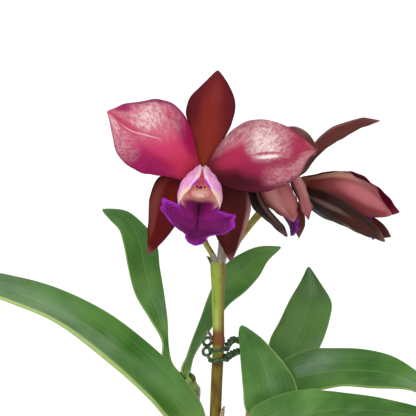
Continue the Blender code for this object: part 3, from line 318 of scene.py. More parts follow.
def bark_chip(middle, size, spin, tip, roll):
    """Points and faces of one broken chip: a flat block whose corners and edges have come off unevenly."""
    made = bmesh.new()
    bmesh.ops.create_cube(made, size=2.0)
    bmesh.ops.subdivide_edges(made, edges=made.edges, cuts=2, use_grid_fill=True)
    taper = draw.uniform(-0.3, 0.3)
    for corner in made.verts:
        p = corner.co
        off = 1 - 0.10 * (abs(p.x) ** 4 + abs(p.y) ** 4 + abs(p.z) ** 4 - 1)
        p *= off
        p.y *= 1 + taper * p.x
        p += Vector((draw.uniform(-0.13, 0.13), draw.uniform(-0.13, 0.13), draw.uniform(-0.16, 0.16)))
        p.x, p.y, p.z = p.x * size[0], p.y * size[1], p.z * size[2]
    from_chip = bmesh_turn(spin, tip, roll)
    for corner in made.verts:
        corner.co = from_chip @ corner.co + Vector(middle)
    made.verts.index_update()
    points = [tuple(v.co) for v in made.verts]
    faces = [[v.index for v in f.verts] for f in made.faces]
    made.free()
    return points, faces


def bmesh_turn(spin, tip, roll):
    from mathutils import Euler
    return Euler((roll, tip, spin)).to_matrix()


points, faces = [], []
bed_radius = pot_radius(BARK_LEVEL) - POT_WALL - 0.0006
golden = math.pi * (3 - math.sqrt(5))
CHIPS = 300
for k in range(CHIPS):
    reach = (bed_radius - 0.0052) * math.sqrt((k + 0.5) / CHIPS)
    turn = golden * k + draw.uniform(-0.1, 0.1)
    x, y = reach * math.cos(turn), reach * math.sin(turn)
    near = min(math.hypot(x - a, y - b) for a, b in STEM_FEET)
    sunk = 0.0022 if near < 0.0085 else 0.0
    size = (draw.uniform(0.0032, 0.0052), draw.uniform(0.0022, 0.0036), draw.uniform(0.0012, 0.0021))
    middle = (x, y, BARK_LEVEL + draw.uniform(-0.0012, 0.0012) - sunk)
    more, round_it = bark_chip(middle, size, draw.uniform(0, math.pi), draw.uniform(-0.4, 0.4), draw.uniform(-0.4, 0.4))
    faces += [[len(points) + v for v in f] for f in round_it]
    points += more
chips = np.array(faces)
low_radius = pot_radius(POT_FLOOR) - POT_WALL - 0.0006
bed = turned([(0.0005, BARK_LEVEL - 0.0022), (bed_radius, BARK_LEVEL - 0.0022), (low_radius, POT_FLOOR + 0.0004), (0.0005, POT_FLOOR + 0.0004)], 96)
bed_faces, bed_places = patch(4, 96, around=True, first=len(points), flip=True)
piece("bark_chips", np.concatenate([points, bed]), [(chips, np.zeros((len(chips), 4, 2)), bark), (bed_faces, bed_places, bark)], ["potting_bark"])
bpy.data.objects["bark_chips"].data.set_sharp_from_angle(angle=math.radians(38))

# Rhizome and roots
# The creeping stem that joins the growths, tough and ringed by old scale scars, half sunk in the bark. Thick
# roots in a white spongy coat run from it over the chips and down between them.

RHIZOME_ROUTES = [
    [(-0.020, 0.015, 0.0855), (-0.009, 0.008, 0.0865), (0.002, -0.001, 0.0865), (0.012, -0.015, 0.0865), (0.017, -0.023, 0.0855)],
    [(0.002, -0.001, 0.0865), (0.007, 0.008, 0.0865), (0.014, 0.0105, 0.0865), (0.022, 0.010, 0.0865), (0.031, 0.012, 0.0855)],
    [(0.002, -0.001, 0.0865), (0.014, -0.004, 0.0865), (0.026, -0.004, 0.0865), (0.034, -0.003, 0.0855)],
]
STEM_SEAT_Z = 0.0915
# For each root: where it leaves the rhizome, the way it heads in degrees, its reach, and its radius.
ROOTS = [
    ((-0.016, 0.012), 155, 0.026, 0.0014), ((-0.012, 0.007), 235, 0.027, 0.0013), ((-0.004, 0.002), 205, 0.036, 0.0012),
    ((0.000, 0.002), 95, 0.031, 0.0013), ((0.006, -0.007), 250, 0.028, 0.0012), ((0.013, -0.018), 205, 0.024, 0.0014),
    ((0.016, -0.022), 300, 0.018, 0.0012), ((0.024, -0.006), 320, 0.020, 0.0013), ((0.018, 0.011), 75, 0.029, 0.0013),
    ((0.031, 0.002), 20, 0.011, 0.0012), ((-0.018, 0.013), 100, 0.024, 0.0012),
]


def unit(v):
    return v / np.linalg.norm(v)


def between(stops, s):
    """Smooth value at s through (place, value) stops, level at its highest and lowest stops."""
    places = [p for p, _ in stops]
    values = [np.asarray(v, float) for _, v in stops]
    if s <= places[0]:
        return values[0]
    for i in range(len(stops) - 1):
        if s <= places[i + 1]:
            width = places[i + 1] - places[i]
            t = (s - places[i]) / width
            rise = (values[i + 1] - values[i]) / width
            before = (values[i] - values[i - 1]) / (places[i] - places[i - 1]) if i else rise
            last = i + 2 >= len(stops)
            after = rise if last else (values[i + 2] - values[i + 1]) / (places[i + 2] - places[i + 1])
            start = np.where(before * rise > 0, (before + rise) / 2, 0.0)
            end = np.where(rise * after > 0, (rise + after) / 2, 0.0)
            a = 2 * t**3 - 3 * t**2 + 1
            b = t**3 - 2 * t**2 + t
            c = -2 * t**3 + 3 * t**2
            d = t**3 - t**2
            return a * values[i] + b * width * start + c * values[i + 1] + d * width * end
    return values[-1]


def curve_through(points, count, start=None):
    """(points, tangents) of a smooth curve through the given points, evenly spaced along its length."""
    points = [np.asarray(p, float) for p in points]
    gaps = [np.linalg.norm(b - a) for a, b in zip(points, points[1:])]
    slopes = []
    for i in range(len(points)):
        if i == 0:
            slopes.append((points[1] - points[0]) / gaps[0] if start is None else unit(np.asarray(start, float)))
        elif i == len(points) - 1:
            slopes.append((points[i] - points[i - 1]) / gaps[i - 1])
        else:
            back = (points[i] - points[i - 1]) / gaps[i - 1]
            ahead = (points[i + 1] - points[i]) / gaps[i]
            slopes.append((back * gaps[i] + ahead * gaps[i - 1]) / (gaps[i] + gaps[i - 1]))
    fine = []
    for i, gap in enumerate(gaps):
        for t in np.linspace(0, 1, 40, endpoint=i == len(gaps) - 1):
            fine.append(
                (2 * t**3 - 3 * t**2 + 1) * points[i] + (t**3 - 2 * t**2 + t) * gap * slopes[i]
                + (3 * t**2 - 2 * t**3) * points[i + 1] + (t**3 - t**2) * gap * slopes[i + 1]
            )
    fine = np.array(fine)
    run = np.concatenate([[0], np.cumsum(np.linalg.norm(np.diff(fine, axis=0), axis=1))])
    at = np.linspace(0, run[-1], count)
    spaced = np.stack([np.interp(at, run, fine[:, k]) for k in range(3)], 1)
    tangents = np.gradient(spaced, axis=0)
    return spaced, tangents / np.linalg.norm(tangents, axis=1)[:, None]


def rings(centres, tangents, radii, sides, widen=1.0, ripple=None):
    """Points of a round rod, a ring round each centre, its two ends closed over. ripple(turn, along) is a
    factor on the radius."""
    points = []
    count = len(centres)
    widen = np.broadcast_to(widen, count)
    reference = np.array([0.0, 1.0, 0.0]) if abs(tangents[0][1]) < 0.9 else np.array([1.0, 0.0, 0.0])
    order = [0, *range(count), count - 1]
    for place, i in enumerate(order):
        tangent = tangents[i]
        reference = unit(reference - tangent * (reference @ tangent))
        other = np.cross(tangent, reference)
        shrink = 1e-3 if place in (0, len(order) - 1) else 1.0
        for k in range(sides):
            turn = 2 * math.pi * k / sides
            r = radii[i] * shrink * (ripple(turn, i / (count - 1)) if ripple else 1.0)
            points.append(centres[i] + r * (math.cos(turn) * reference * widen[i] + math.sin(turn) * other))
    return np.array(points)


def rod(centres, tangents, radii, sides, finish, first=0, **more):
    """(points, (faces, places, finish)) of a round rod."""
    faces, places = patch(len(centres) + 2, sides, around=True, first=first)
    return rings(centres, tangents, radii, sides, **more), (faces, places, finish)


def together(name, rods, nodes=()):
    """One piece made of several rods. Each is a call that takes the number of points before it."""
    points, parts = [], []
    for make in rods:
        more, part = make(len(points))
        points += list(more)
        parts.append(part)
    merged = {}
    for faces, places, finish in parts:
        merged.setdefault(finish.material.name, []).append((faces, places, finish))
    joined = [
        (np.concatenate([g[0] for g in group]), np.concatenate([g[1] for g in group]), group[0][2]) for group in merged.values()
    ]
    return piece(name, points, joined, nodes)


tough = Finish("rhizome_skin", tint(104, 98, 56), 0.6)
spot = tough.in_space()
skin = tough.ramp(tough.noise(spot, 260.0, 4.0, 0.6), [(0.3, tint(76, 62, 38)), (0.52, tint(112, 106, 58)), (0.75, tint(150, 132, 84))])
tough.paint(skin)
tough.relief(tough.noise(spot, 900.0, 3.0), 0.0003, 0.7)


def scarred(turn, along):
    return 1 + 0.10 * abs(math.sin(along * 19)) ** 6 + 0.02 * math.sin(3 * turn)


def rhizome_rod(route):
    def make(first):
        centres, tangents = curve_through(route, 60)
        taper = [(0, 0.0022), (0.12, 0.0036), (0.88, 0.0036), (1, 0.0022)]
        radii = [float(between(taper, s)) for s in np.linspace(0, 1, 60)]
        return rod(centres, tangents, radii, 24, tough, first, ripple=scarred)
    return make


def joint_rod(x, y):
    def make(first):
        heights = np.linspace(BARK_LEVEL - 0.001, STEM_SEAT_Z, 12)
        centres = np.array([(x, y, z) for z in heights])
        radii = [0.0049 * (1 - 0.10 * t**2) if t < 0.95 else 0.0040 for t in np.linspace(0, 1, 12)]
        return rod(centres, np.tile([0.0, 0.0, 1.0], (12, 1)), radii, 28, tough, first)
    return make


together("creeping_stem", [rhizome_rod(r) for r in RHIZOME_ROUTES] + [joint_rod(*f) for f in STEM_FEET], ["rhizome"])

velamen = Finish("root_coat", tint(206, 203, 190), 0.75)
spot = velamen.in_space()
across, along = velamen.across_along()
coat = velamen.ramp(velamen.noise(spot, 300.0, 4.0), [(0.3, tint(168, 164, 146)), (0.6, tint(214, 211, 200)), (0.8, tint(232, 230, 222))])
coat = velamen.mix(velamen.smooth(velamen.noise(spot, 90.0), 0.55, 0.75, 0.0, 0.4), coat, tint(150, 158, 112))
velamen.paint(coat)
velamen.relief(velamen.noise(spot, 1500.0, 3.0), 0.0002, 0.6)


def root_rod(leaves, heading, reach, radius):
    def make(first):
        turn = math.radians(heading)
        out = np.array([math.cos(turn), math.sin(turn)])
        side = np.array([-out[1], out[0]])
        bend = draw.uniform(-0.16, 0.16) * reach
        start = np.array(leaves)
        top = BARK_LEVEL + 0.0012 + radius
        flat = [start, start + out * reach * 0.35 + side * bend * 0.4, start + out * reach * 0.7 + side * bend, start + out * reach]
        heights = [0.0862, top + 0.0004, top, BARK_LEVEL - 0.004]
        route = [(*p, z) for p, z in zip(flat, heights)]
        centres, tangents = curve_through(route, 36)
        radii = [radius * (1 + 0.06 * math.sin(9 * s)) for s in np.linspace(0, 1, 36)]
        return rod(centres, tangents, radii, 14, velamen, first)
    return make


together("roots", [root_rod(*r) for r in ROOTS])

# Leafy stems
# Each growth's swollen stem, a narrow green club that stores water, lightly furrowed and jointed. Its lower
# half is wrapped in the dry, papery sheaths that it grew out of.

LEAFY_STEMS = {
    "back_left": {"foot": (-0.009, 0.008), "apex": (-0.0125, 0.0120, 0.1905), "belly": 0.0078},
    "flowering": {"foot": (0.002, -0.001), "apex": (0.0005, 0.0, 0.1665), "belly": 0.0082},
    "back_right": {"foot": (0.022, 0.010), "apex": (0.0310, 0.0150, 0.1830), "belly": 0.0082},
    "right": {"foot": (0.026, -0.004), "apex": (0.0280, -0.0080, 0.1700), "belly": 0.0080},
    "front": {"foot": (0.012, -0.015), "apex": (0.0140, -0.0180, 0.1690), "belly": 0.0082},
}
SEAT_GAP = 0.0003

cane_green = Finish("stem_skin", tint(120, 138, 62), 0.42, coat_weight=0.15, coat_roughness=0.3)
across, along = cane_green.across_along()
spot = cane_green.in_space()
furrow = cane_green.noise(cane_green.stretched(across, along, 26.0, 1.2), 1.0, 2.0)
green = cane_green.ramp(furrow, [(0.3, tint(92, 116, 46)), (0.55, tint(128, 148, 66)), (0.8, tint(158, 168, 92))])
aged = cane_green.smooth(cane_green.noise(spot, 55.0, 4.0), 0.5, 0.75, 0.0, 0.55)
green = cane_green.mix(aged, green, tint(146, 132, 70))
fleck = cane_green.smooth(cane_green.noise(spot, 700.0, 2.0), 0.66, 0.74, 0.0, 0.5)
green = cane_green.mix(fleck, green, tint(92, 72, 40))
cane_green.paint(green)
cane_green.relief(cane_green.math("ADD", furrow, cane_green.math("MULTIPLY", cane_green.noise(spot, 1200.0), 0.2)), 0.0005, 0.5)

paper = Finish("dry_sheath", tint(196, 178, 136), 0.7, subsurface_weight=0.15, subsurface_scale=0.002)
across, along = paper.across_along()
vein = paper.noise(paper.stretched(across, along, 46.0, 2.5), 1.0, 3.0, 0.6)
straw = paper.ramp(vein, [(0.3, tint(150, 126, 88)), (0.52, tint(198, 180, 140)), (0.75, tint(224, 214, 188))])
stain = paper.smooth(paper.noise(paper.in_space(), 120.0, 4.0, 0.7), 0.55, 0.75, 0.0, 0.6)
paper.paint(paper.mix(stain, straw, tint(112, 84, 60)))
paper.relief(vein, 0.0003, 0.8)


def stem_line(foot, apex, belly, count):
    """(centres, tangents, radii) of a leafy stem."""
    low, high = np.array([*foot, STEM_SEAT_Z + SEAT_GAP]), np.array(apex)
    route = [low, low + (high - low) * [0.15, 0.15, 0.33], low + (high - low) * [0.8, 0.8, 0.75], high]
    swelling = [(0, 0.0042), (0.08, 0.0048), (0.5, belly * 0.86), (0.72, belly), (0.9, belly * 0.86), (1, 0.0068)]
    centres, tangents = curve_through(route, count, start=(0, 0, 1))
    tangents[0] = tangents[-1] = (0, 0, 1)
    return centres, tangents, np.array([float(between(swelling, s)) for s in np.linspace(0, 1, count)])


def furrowed(turn, along):
    joint = sum(math.exp(-(((along - at) / 0.008) ** 2)) for at in (0.14, 0.34, 0.58, 0.82))
    return 0.985 + 0.014 * math.sin(9 * turn + 3 * along) - 0.05 * joint - 0.35 * (max(0.0, along - 0.965) / 0.035) ** 2


def collar(apex, clasp, seed, first):
    """(points, parts) of the short green cup at the top of a stem, from which its leaves rise."""
    rows, cols = 14, 48
    ragged = random.Random(seed)
    lean, turned_to = ragged.uniform(0.25, 0.4), ragged.uniform(0, 6.28)
    profile = [(-0.0042, 0.0068), (-0.0012, 0.0068), (0.0020, clasp + 0.0014), (0.0060, clasp + 0.0009)]
    stops = [(s, np.array(p)) for s, p in zip((0, 0.3, 0.65, 1), profile)]
    inner, outer = [], []
    for i in range(rows):
        for j in range(cols):
            turn = 2 * math.pi * j / (cols - 1)
            s = i / (rows - 1) * (1 - lean * (0.5 + 0.5 * math.cos(turn - turned_to)))
            rise, radius = between(stops, s)
            out = np.array([math.cos(turn), math.sin(turn), 0.0])
            outer.append(np.array(apex) + out * (radius + 0.0003) + [0, 0, rise])
            inner.append(np.array(apex) + out * radius + [0, 0, rise])
    front, front_places = patch(rows, cols, first=first)
    back, back_places = patch(rows, cols, first=first + rows * cols, flip=True)
    return outer + inner, (np.concatenate([front, back]), np.concatenate([front_places, back_places]), cane_green)


def wrapped(centres, tangents, radii, low, high, split, seed, first):
    """(points, parts) of a sheath round a stem from low to high along it, torn along its top, open at split."""
    rows, cols = 22, 49
    ragged = random.Random(seed)
    waves = [(ragged.uniform(0.02, 0.05), ragged.randint(2, 7), ragged.uniform(0, 6.28)) for _ in range(4)]
    inner, outer = [], []
    for i in range(rows):
        for j in range(cols):
            turn = math.radians(split + 8 + 344 * j / (cols - 1))
            top = high - (high - low) * sum(a * (1 + math.sin(n * turn + p)) for a, n, p in waves)
            s = low + (top - low) * i / (rows - 1)
            at = s * (len(centres) - 1)
            k = min(int(at), len(centres) - 2)
            middle = centres[k] + (centres[k + 1] - centres[k]) * (at - k)
            radius = radii[k] + (radii[k + 1] - radii[k]) * (at - k)
            flare = 0.00035 + 0.0006 * (i / (rows - 1)) ** 3 + 0.00012 * math.sin(6 * turn + 9 * s)
            out = np.array([math.cos(turn), math.sin(turn), 0.0])
            outer.append(middle + out * (radius + flare + 0.00018))
            inner.append(middle + out * (radius + flare))
    front, front_places = patch(rows, cols, first=first)
    back, back_places = patch(rows, cols, first=first + rows * cols, flip=True)
    return outer + inner, (np.concatenate([front, back]), np.concatenate([front_places, back_places]), paper)


for number, (name, stem) in enumerate(LEAFY_STEMS.items()):
    centres, tangents, radii = stem_line(stem["foot"], stem["apex"], stem["belly"], 90)
    clasp = 0.0050 if name == "flowering" else 0.0036
    together(
        "stem_" + name,
        [
            lambda first: rod(centres, tangents, radii, 48, cane_green, first, ripple=furrowed),
            lambda first: collar(stem["apex"], clasp, number, first),
        ],
        ["leafy_stem_" + name],
    )
    sleeves = [(0.02, 0.24, 200 + 70 * number), (0.15, 0.50 + 0.05 * (number % 3), 20 + 95 * number)]
    together(
        "sheaths_" + name,
        [lambda first, k=k, s=s: wrapped(centres, tangents, radii, s[0], s[1], s[2], 5 * number + k, first) for k, s in enumerate(sleeves)],
    )

# Leaves
# Thick leathery leaves, one or two from the top of each stem, folded along the midrib where they clasp it and
# opening out above. They are glossy, with a sunk midrib, fine parallel veins and a thin yellow-green margin.

LEAVES = {
    "left_long": {"stem": "flowering", "heading": 195, "clasp": 0.0050, "fold": 22,
        "left": [
            (-15, -7, 175.5), (-27, -14, 189), (-39.5, -21, 202.5), (-54, -28, 215.5),
            (-68.5, -33, 226), (-85, -36, 234), (-98, -35, 238.5), (-110.5, -27, 242.5),
        ],
        "right": [
            (-4, 1, 182), (-16.5, -1, 200.5), (-28.5, -2, 212), (-45, -4, 225), (-62.5, -7, 234),
            (-81.5, -12, 241), (-96.5, -18, 244.5), (-110, -25, 243),
        ],
    },
    "left_upright": {"stem": "back_left", "heading": 150, "clasp": 0.0036, "fold": 26,
        "left": [
            (-22, 14, 203), (-22, 16, 209.5), (-27.5, 20, 219), (-34, 24, 230), (-37.5, 28, 241.5),
            (-39.5, 31, 251), (-41.5, 33.5, 257.5), (-45.5, 35.5, 261.5), (-49.5, 37.5, 265.5),
        ],
        "right": [
            (-18.5, 14, 202), (-19.5, 17, 209.5), (-20, 21, 218.5), (-21.5, 26, 229.5),
            (-23.5, 30, 241), (-25.5, 33, 253), (-31, 35, 260), (-38.5, 36.5, 265.5),
            (-48.5, 37.5, 266.5),
        ],
    },
    "back_centre": {"stem": "back_left", "heading": -30, "clasp": 0.0036, "fold": 26,
        "left": [
            (-13.5, 14, 196.5), (-11.5, 17, 203), (-9, 20, 210), (-5.5, 24, 218.5), (-1.5, 29, 229.5),
            (4, 34, 240), (12, 38, 246), (20, 41, 249), (30, 44, 249),
        ],
        "right": [
            (-10.5, 14, 195.5), (-8.5, 17, 203), (-4.5, 20, 209.5), (0.5, 24, 216.5), (7, 28, 224.5),
            (14.5, 32, 230), (21, 36, 237), (24.5, 40, 242.5), (30.5, 44, 248),
        ],
    },
    "right_upright": {"stem": "back_right", "heading": 130, "clasp": 0.0036, "fold": 22,
        "left": [
            (29, 18, 187), (25.5, 23, 197), (25, 28, 207.5), (30, 33, 217), (34.5, 37, 226),
            (39, 40.5, 233), (42.5, 44, 239.5),
        ],
        "right": [
            (34.5, 19, 188), (41, 25, 196), (48, 31, 206), (52, 35, 217), (53, 38, 224.5),
            (50, 41, 230), (43.5, 44, 239.5),
        ],
    },
    "right_arching": {"stem": "back_right", "heading": -20, "clasp": 0.0036, "fold": 24,
        "left": [
            (33.5, 16, 187.5), (30.5, 14, 201), (40.5, 15, 206), (53.5, 14, 207), (66.5, 11, 207),
            (78, 6, 204.5), (88, 0, 199), (96, -6, 193.5), (102.5, -13, 188),
        ],
        "right": [
            (32, 8, 186), (39, 1, 190.5), (45.5, -2, 191.5), (55.5, -6, 193.5), (66, -10, 194),
            (75.5, -13, 194), (84.5, -15, 193), (92.5, -15, 190), (102, -14, 187),
        ],
    },
    "front_upright": {"stem": "right", "heading": 100, "clasp": 0.0036, "fold": 22,
        "left": [
            (21.5, -7, 174.5), (14.5, -6, 182.5), (13, -5, 192.5), (12, -3, 202.5), (11.5, -2, 209.5),
            (11, -1, 215), (11.5, 0, 219),
        ],
        "right": [
            (30.5, -9, 174), (37, -9, 183), (36, -9, 193), (32, -8, 201.5), (26, -6, 209),
            (19, -4, 215.5), (13.5, -0.5, 219),
        ],
    },
    "front_arching": {"stem": "front", "heading": -20, "clasp": 0.0036, "fold": 22,
        "left": [
            (15.5, -14, 177.5), (16, -12, 183.5), (23.5, -14, 189), (34, -20, 193.5), (46, -27, 195),
            (59.5, -35, 194.5), (73.5, -44, 193.5), (85.5, -53, 192), (95, -63.5, 188.5),
        ],
        "right": [
            (15.5, -23, 171.5), (22.5, -31, 174.5), (32, -38, 179), (42, -45, 182.5), (53, -52, 185.5),
            (64.5, -59, 187.5), (75.5, -63, 187.5), (85, -65, 187.5), (95, -65, 188.5),
        ],
    },
}


def section(half_width, fold, keel, across):
    """(sideways, upwards) offsets across a blade whose slope grows from 0 at its midrib to fold at its edges.
    A keel of 1 gives a round channel, and a smaller one a sharper V."""
    places = np.linspace(-1, 1, across)
    fine = np.linspace(0, 1, 41)
    slope = fold * fine**keel
    mids = (slope[1:] + slope[:-1]) / 2
    out = np.concatenate([[0], np.cumsum(np.cos(mids))]) / 40
    up = np.concatenate([[0], np.cumsum(np.sin(mids))]) / 40
    side = np.sign(places) * np.interp(np.abs(places), fine, out)
    return half_width * side, half_width * np.interp(np.abs(places), fine, up)


def smooth_rows(rows, run, at, start):
    """The pair of edge points at a distance along a blade, on smooth curves through the given rows."""
    i = min(int(np.searchsorted(run, at, side="right")) - 1, len(run) - 2)
    gaps = np.diff(run)
    t = (at - run[i]) / gaps[i]

    def slope(k):
        if k == 0:
            return (rows[1] - rows[0]) / gaps[0] if start is None else np.array([start, start]) * 1.0
        if k == len(run) - 1:
            return (rows[k] - rows[k - 1]) / gaps[k - 1]
        back, ahead = (rows[k] - rows[k - 1]) / gaps[k - 1], (rows[k + 1] - rows[k]) / gaps[k]
        return (back * gaps[k] + ahead * gaps[k - 1]) / (gaps[k] + gaps[k - 1])

    return (
        (2 * t**3 - 3 * t**2 + 1) * rows[i] + (t**3 - 2 * t**2 + t) * gaps[i] * slope(i)
        + (3 * t**2 - 2 * t**3) * rows[i + 1] + (t**3 - t**2) * gaps[i] * slope(i + 1)
    )


def blade_sheet(foot, left, right, fold, keel, count, across, start=None):
    """A blade's middle surface between its two edges, seen on its upper side with its tip up. foot holds the
    two ends of its base; fold holds how far each half leans along it, in degrees; the tip is rounded off."""
    rows = np.array([np.array(foot)] + [np.array([a, b], float) for a, b in zip(left, right)])
    run = np.concatenate([[0], np.cumsum(np.linalg.norm(np.diff(rows.mean(axis=1), axis=0), axis=1))])
    edges = [smooth_rows(rows, run, at, start) for at in np.linspace(0, run[-1], count)]
    middles = np.array([e.mean(axis=0) for e in edges])
    tangents = np.gradient(middles, axis=0)
    if start is not None:
        tangents[0] = start
    grid = np.zeros((count, across, 3))
    for i, s in enumerate(np.linspace(0, 1, count)):
        low, high = edges[i]
        half = np.linalg.norm(high - low) / 2
        side = (high - low) / (2 * half)
        normal = unit(np.cross(side, tangents[i]))
        lean = math.radians(float(between(fold, s)))
        sideways, upwards = section(1.0, abs(lean), float(between(keel, s)), across)
        scale = half / sideways[-1]
        rise = (upwards - upwards[-1]) * scale * math.copysign(1, lean)
        narrow = 1.0 if s < 0.975 else math.sqrt(max(0.02, 1 - ((s - 0.975) / 0.025) ** 2))
        grid[i] = middles[i] + (sideways * scale * narrow)[:, None] * side + rise[:, None] * normal
    return grid


def normals_of(grid, foot_axis=None):
    normal = np.cross(np.gradient(grid, axis=1), np.gradient(grid, axis=0))
    if foot_axis is not None:
        normal[0] -= (normal[0] @ foot_axis)[:, None] * foot_axis
    return normal / np.linalg.norm(normal, axis=2)[..., None]


def blade(name, grid, thickness, upper, under, node, foot_axis=None, relief=None):
    """A piece with an upper and an under face over a sheet of points, joined by a narrow rim. relief moves
    the sheet along its normals before that."""
    rows, cols = grid.shape[:2]
    if relief is not None:
        grid = grid + normals_of(grid, foot_axis) * relief[..., None]
    lift = normals_of(grid, foot_axis) * thickness[..., None] / 2
    points = np.concatenate([(grid + lift).reshape(-1, 3), (grid - lift).reshape(-1, 3)])
    n = rows * cols
    top_faces, top_places = patch(rows, cols)
    low_faces, low_places = patch(rows, cols, first=n, flip=True)
    rim = list(range(cols)) + [i * cols + cols - 1 for i in range(1, rows)]
    rim += [(rows - 1) * cols + j for j in range(cols - 2, -1, -1)] + [i * cols for i in range(rows - 2, 0, -1)]
    after = rim[1:] + rim[:1]
    side_faces = np.array([(b, a, a + n, b + n) for a, b in zip(rim, after)])
    side_places = np.array([[((v % cols) / (cols - 1), (v // cols) / (rows - 1)) for v in (b, a, a, b)] for a, b in zip(rim, after)])
    parts = [(np.concatenate([top_faces, side_faces]), np.concatenate([top_places, side_places]), upper), (low_faces, low_places, under)]
    return piece(name, points, parts, [node])


def swell(count, across, middle, edge, power=1.5, ends=((0, 0.85), (0.25, 1), (0.8, 0.85), (1, 0.5))):
    """Thickness over a blade: full along its midrib and thinner to its edges, foot and tip."""
    outward = np.abs(np.linspace(-1, 1, across)) ** power
    taper = np.array([float(between(list(ends), s)) for s in np.linspace(0, 1, count)])
    return (middle + (edge - middle) * outward)[None, :] * taper[:, None]


def leaf_finish(name, light, dark, margin, roughness, strip=0.0):
    """A leaf's face, with patches of painted sheen and a midrib paled partly as a painted highlight. strip is how
    strongly its left edge is lit through, as a pale band.
    """
    made = Finish(name, light, roughness, specular_ior_level=0.3, coat_weight=0.08, coat_roughness=0.3)
    across, along = made.across_along()
    off = made.math("ABSOLUTE", made.math("SUBTRACT", across, 0.5))
    veins = made.noise(made.stretched(across, along, 44.0, 1.4), 1.0, 2.0)
    cloud = made.noise(made.in_space(), 48.0, 3.0)
    green = made.mix(made.smooth(cloud, 0.32, 0.68), dark, light)
    green = made.mix(made.smooth(veins, 0.45, 0.72, 0.0, 0.14), green, margin)
    # bloom here is painted sheen: grey-green patches of painted reflection, strongest along the midrib.
    bloom = made.smooth(made.noise(made.in_space(1, 1, 1), 30.0, 2.0), 0.5, 0.72, 0.0, 0.45)
    green = made.mix(made.math("MULTIPLY", bloom, made.smooth(off, 0.05, 0.32, 1.0, 0.2)), green, tint(128, 158, 112))
    # A paler midrib, lightened to cover the shade in its groove: partly its own colour, partly a painted highlight.
    rib_and_sheen = made.smooth(off, 0.0, 0.05, 0.35, 0.0)
    green = made.mix(rib_and_sheen, green, tint(112, 146, 86))
    if strip:
        green = made.mix(made.smooth(made.math("ADD", across, made.math("MULTIPLY", cloud, 0.06)), 0.06, 0.16, strip, 0.0), green, tint(190, 214, 132))
    green = made.mix(made.smooth(off, 0.482, 0.5, 0.0, 0.6), green, margin)
    base = made.smooth(along, 0.02, 0.22, 0.4, 0.0)
    made.paint(made.mix(base, green, margin))
    pores = made.noise(made.in_space(), 1500.0, 2.0)
    made.relief(made.math("ADD", veins, made.math("MULTIPLY", pores, 0.25)), 0.00016, 0.45)
    made.gloss(made.smooth(made.noise(made.in_space(), 75.0, 3.0), 0.3, 0.7, roughness - 0.06, roughness + 0.08))
    return made


leaf_upper = leaf_finish("leaf_upper", tint(84, 130, 54), tint(50, 98, 34), tint(140, 172, 84), 0.4)
leaf_lit = leaf_finish("leaf_lit_edge", tint(76, 128, 44), tint(50, 102, 30), tint(150, 178, 92), 0.4, 0.9)
leaf_under = leaf_finish("leaf_under", tint(112, 146, 76), tint(86, 126, 60), tint(160, 180, 104), 0.48)
CLASP_FOLD = 70
for name, leaf in LEAVES.items():
    turn, wrap = math.radians(leaf["heading"]), math.radians(CLASP_FOLD)
    outward = np.array([math.cos(turn), math.sin(turn), 0])
    rightward = np.array([math.sin(turn), -math.cos(turn), 0])
    level = np.array(LEAFY_STEMS[leaf["stem"]]["apex"]) + [0, 0, SEAT_GAP]
    foot = [level + leaf["clasp"] * (outward * math.cos(wrap) + s * rightward * math.sin(wrap)) for s in (-1, 1)]
    fold = [(0, CLASP_FOLD), (0.08, CLASP_FOLD - 15), (0.4, leaf["fold"]), (1, leaf["fold"] * 0.5)]
    keel = [(0, 1.0), (0.08, 1.0), (0.4, 0.5), (1, 0.7)]
    left, right = (np.array(leaf[k]) / 1000 for k in ("left", "right"))
    up = np.array([0.0, 0.0, 1.0])
    sheet = blade_sheet(foot, left, right, fold, keel, 110, 33, start=up)
    s, x = np.meshgrid(np.linspace(0, 1, 110), np.linspace(-1, 1, 33), indexing="ij")
    grown = np.clip((s - 0.15) * 4, 0, 1)
    wave = 0.00035 * np.sin(2 * np.pi * (2.6 * s + 0.4 * np.sign(x)) + leaf["heading"]) * np.abs(x) ** 3
    groove = -0.00016 * np.exp(-((x / 0.05) ** 2))
    blade("leaf_blade_" + name, sheet, swell(110, 33, 0.0022, 0.0009), leaf_lit if name == "left_long" else leaf_upper, leaf_under, "leaf_" + name, up, (wave + groove) * grown)

# Flower stem
# One stiff round stalk from the top of the flowering growth, green where it is young, with red-brown painted
# shade down its side away from the light, and a swollen joint halfway. Small dry scales stand round its top,
# where the blooms branch.

stalk = Finish("flower_stalk", tint(150, 154, 62), 0.42, specular_ior_level=0.15, coat_weight=0.03, coat_roughness=0.3)
spot = stalk.in_space()
parts_of = stalk.add("SeparateXYZ", {0: spot}).node
east, tall = parts_of.outputs[0], parts_of.outputs[2]
cloud = stalk.noise(stalk.in_space(1, 1, 0.35), 330.0, 4.0, 0.6)
green = stalk.ramp(cloud, [(0.3, tint(128, 148, 44)), (0.5, tint(152, 170, 66)), (0.75, tint(180, 190, 104))])
# Red-brown painted shade down the side of the stalk away from the light.
painted_shade_side = stalk.smooth(stalk.math("ADD", east, stalk.math("MULTIPLY", cloud, 0.004)), 0.0040, 0.0068, 0.0, 0.8)
green = stalk.mix(painted_shade_side, green, tint(122, 66, 52))
low_flush = stalk.math("ADD", tall, stalk.math("MULTIPLY", cloud, 0.006))
green = stalk.mix(stalk.smooth(low_flush, 0.205, 0.213, 0.9, 0.0), green, stalk.mix(stalk.smooth(cloud, 0.4, 0.62), tint(84, 48, 22), tint(120, 96, 22)))
from_joint = stalk.math("ABSOLUTE", stalk.math("SUBTRACT", tall, 0.2137))
green = stalk.mix(stalk.smooth(from_joint, 0.0016, 0.0060, 0.95, 0.0), green, tint(118, 66, 40))
fleck = stalk.smooth(stalk.noise(spot, 1100.0, 2.0), 0.62, 0.72, 0.0, 0.4)
stalk.paint(stalk.mix(fleck, green, tint(104, 58, 44)))
lines = stalk.noise(stalk.in_space(6, 6, 0.3), 260.0, 2.0)
stalk.relief(lines, 0.0003, 0.4)

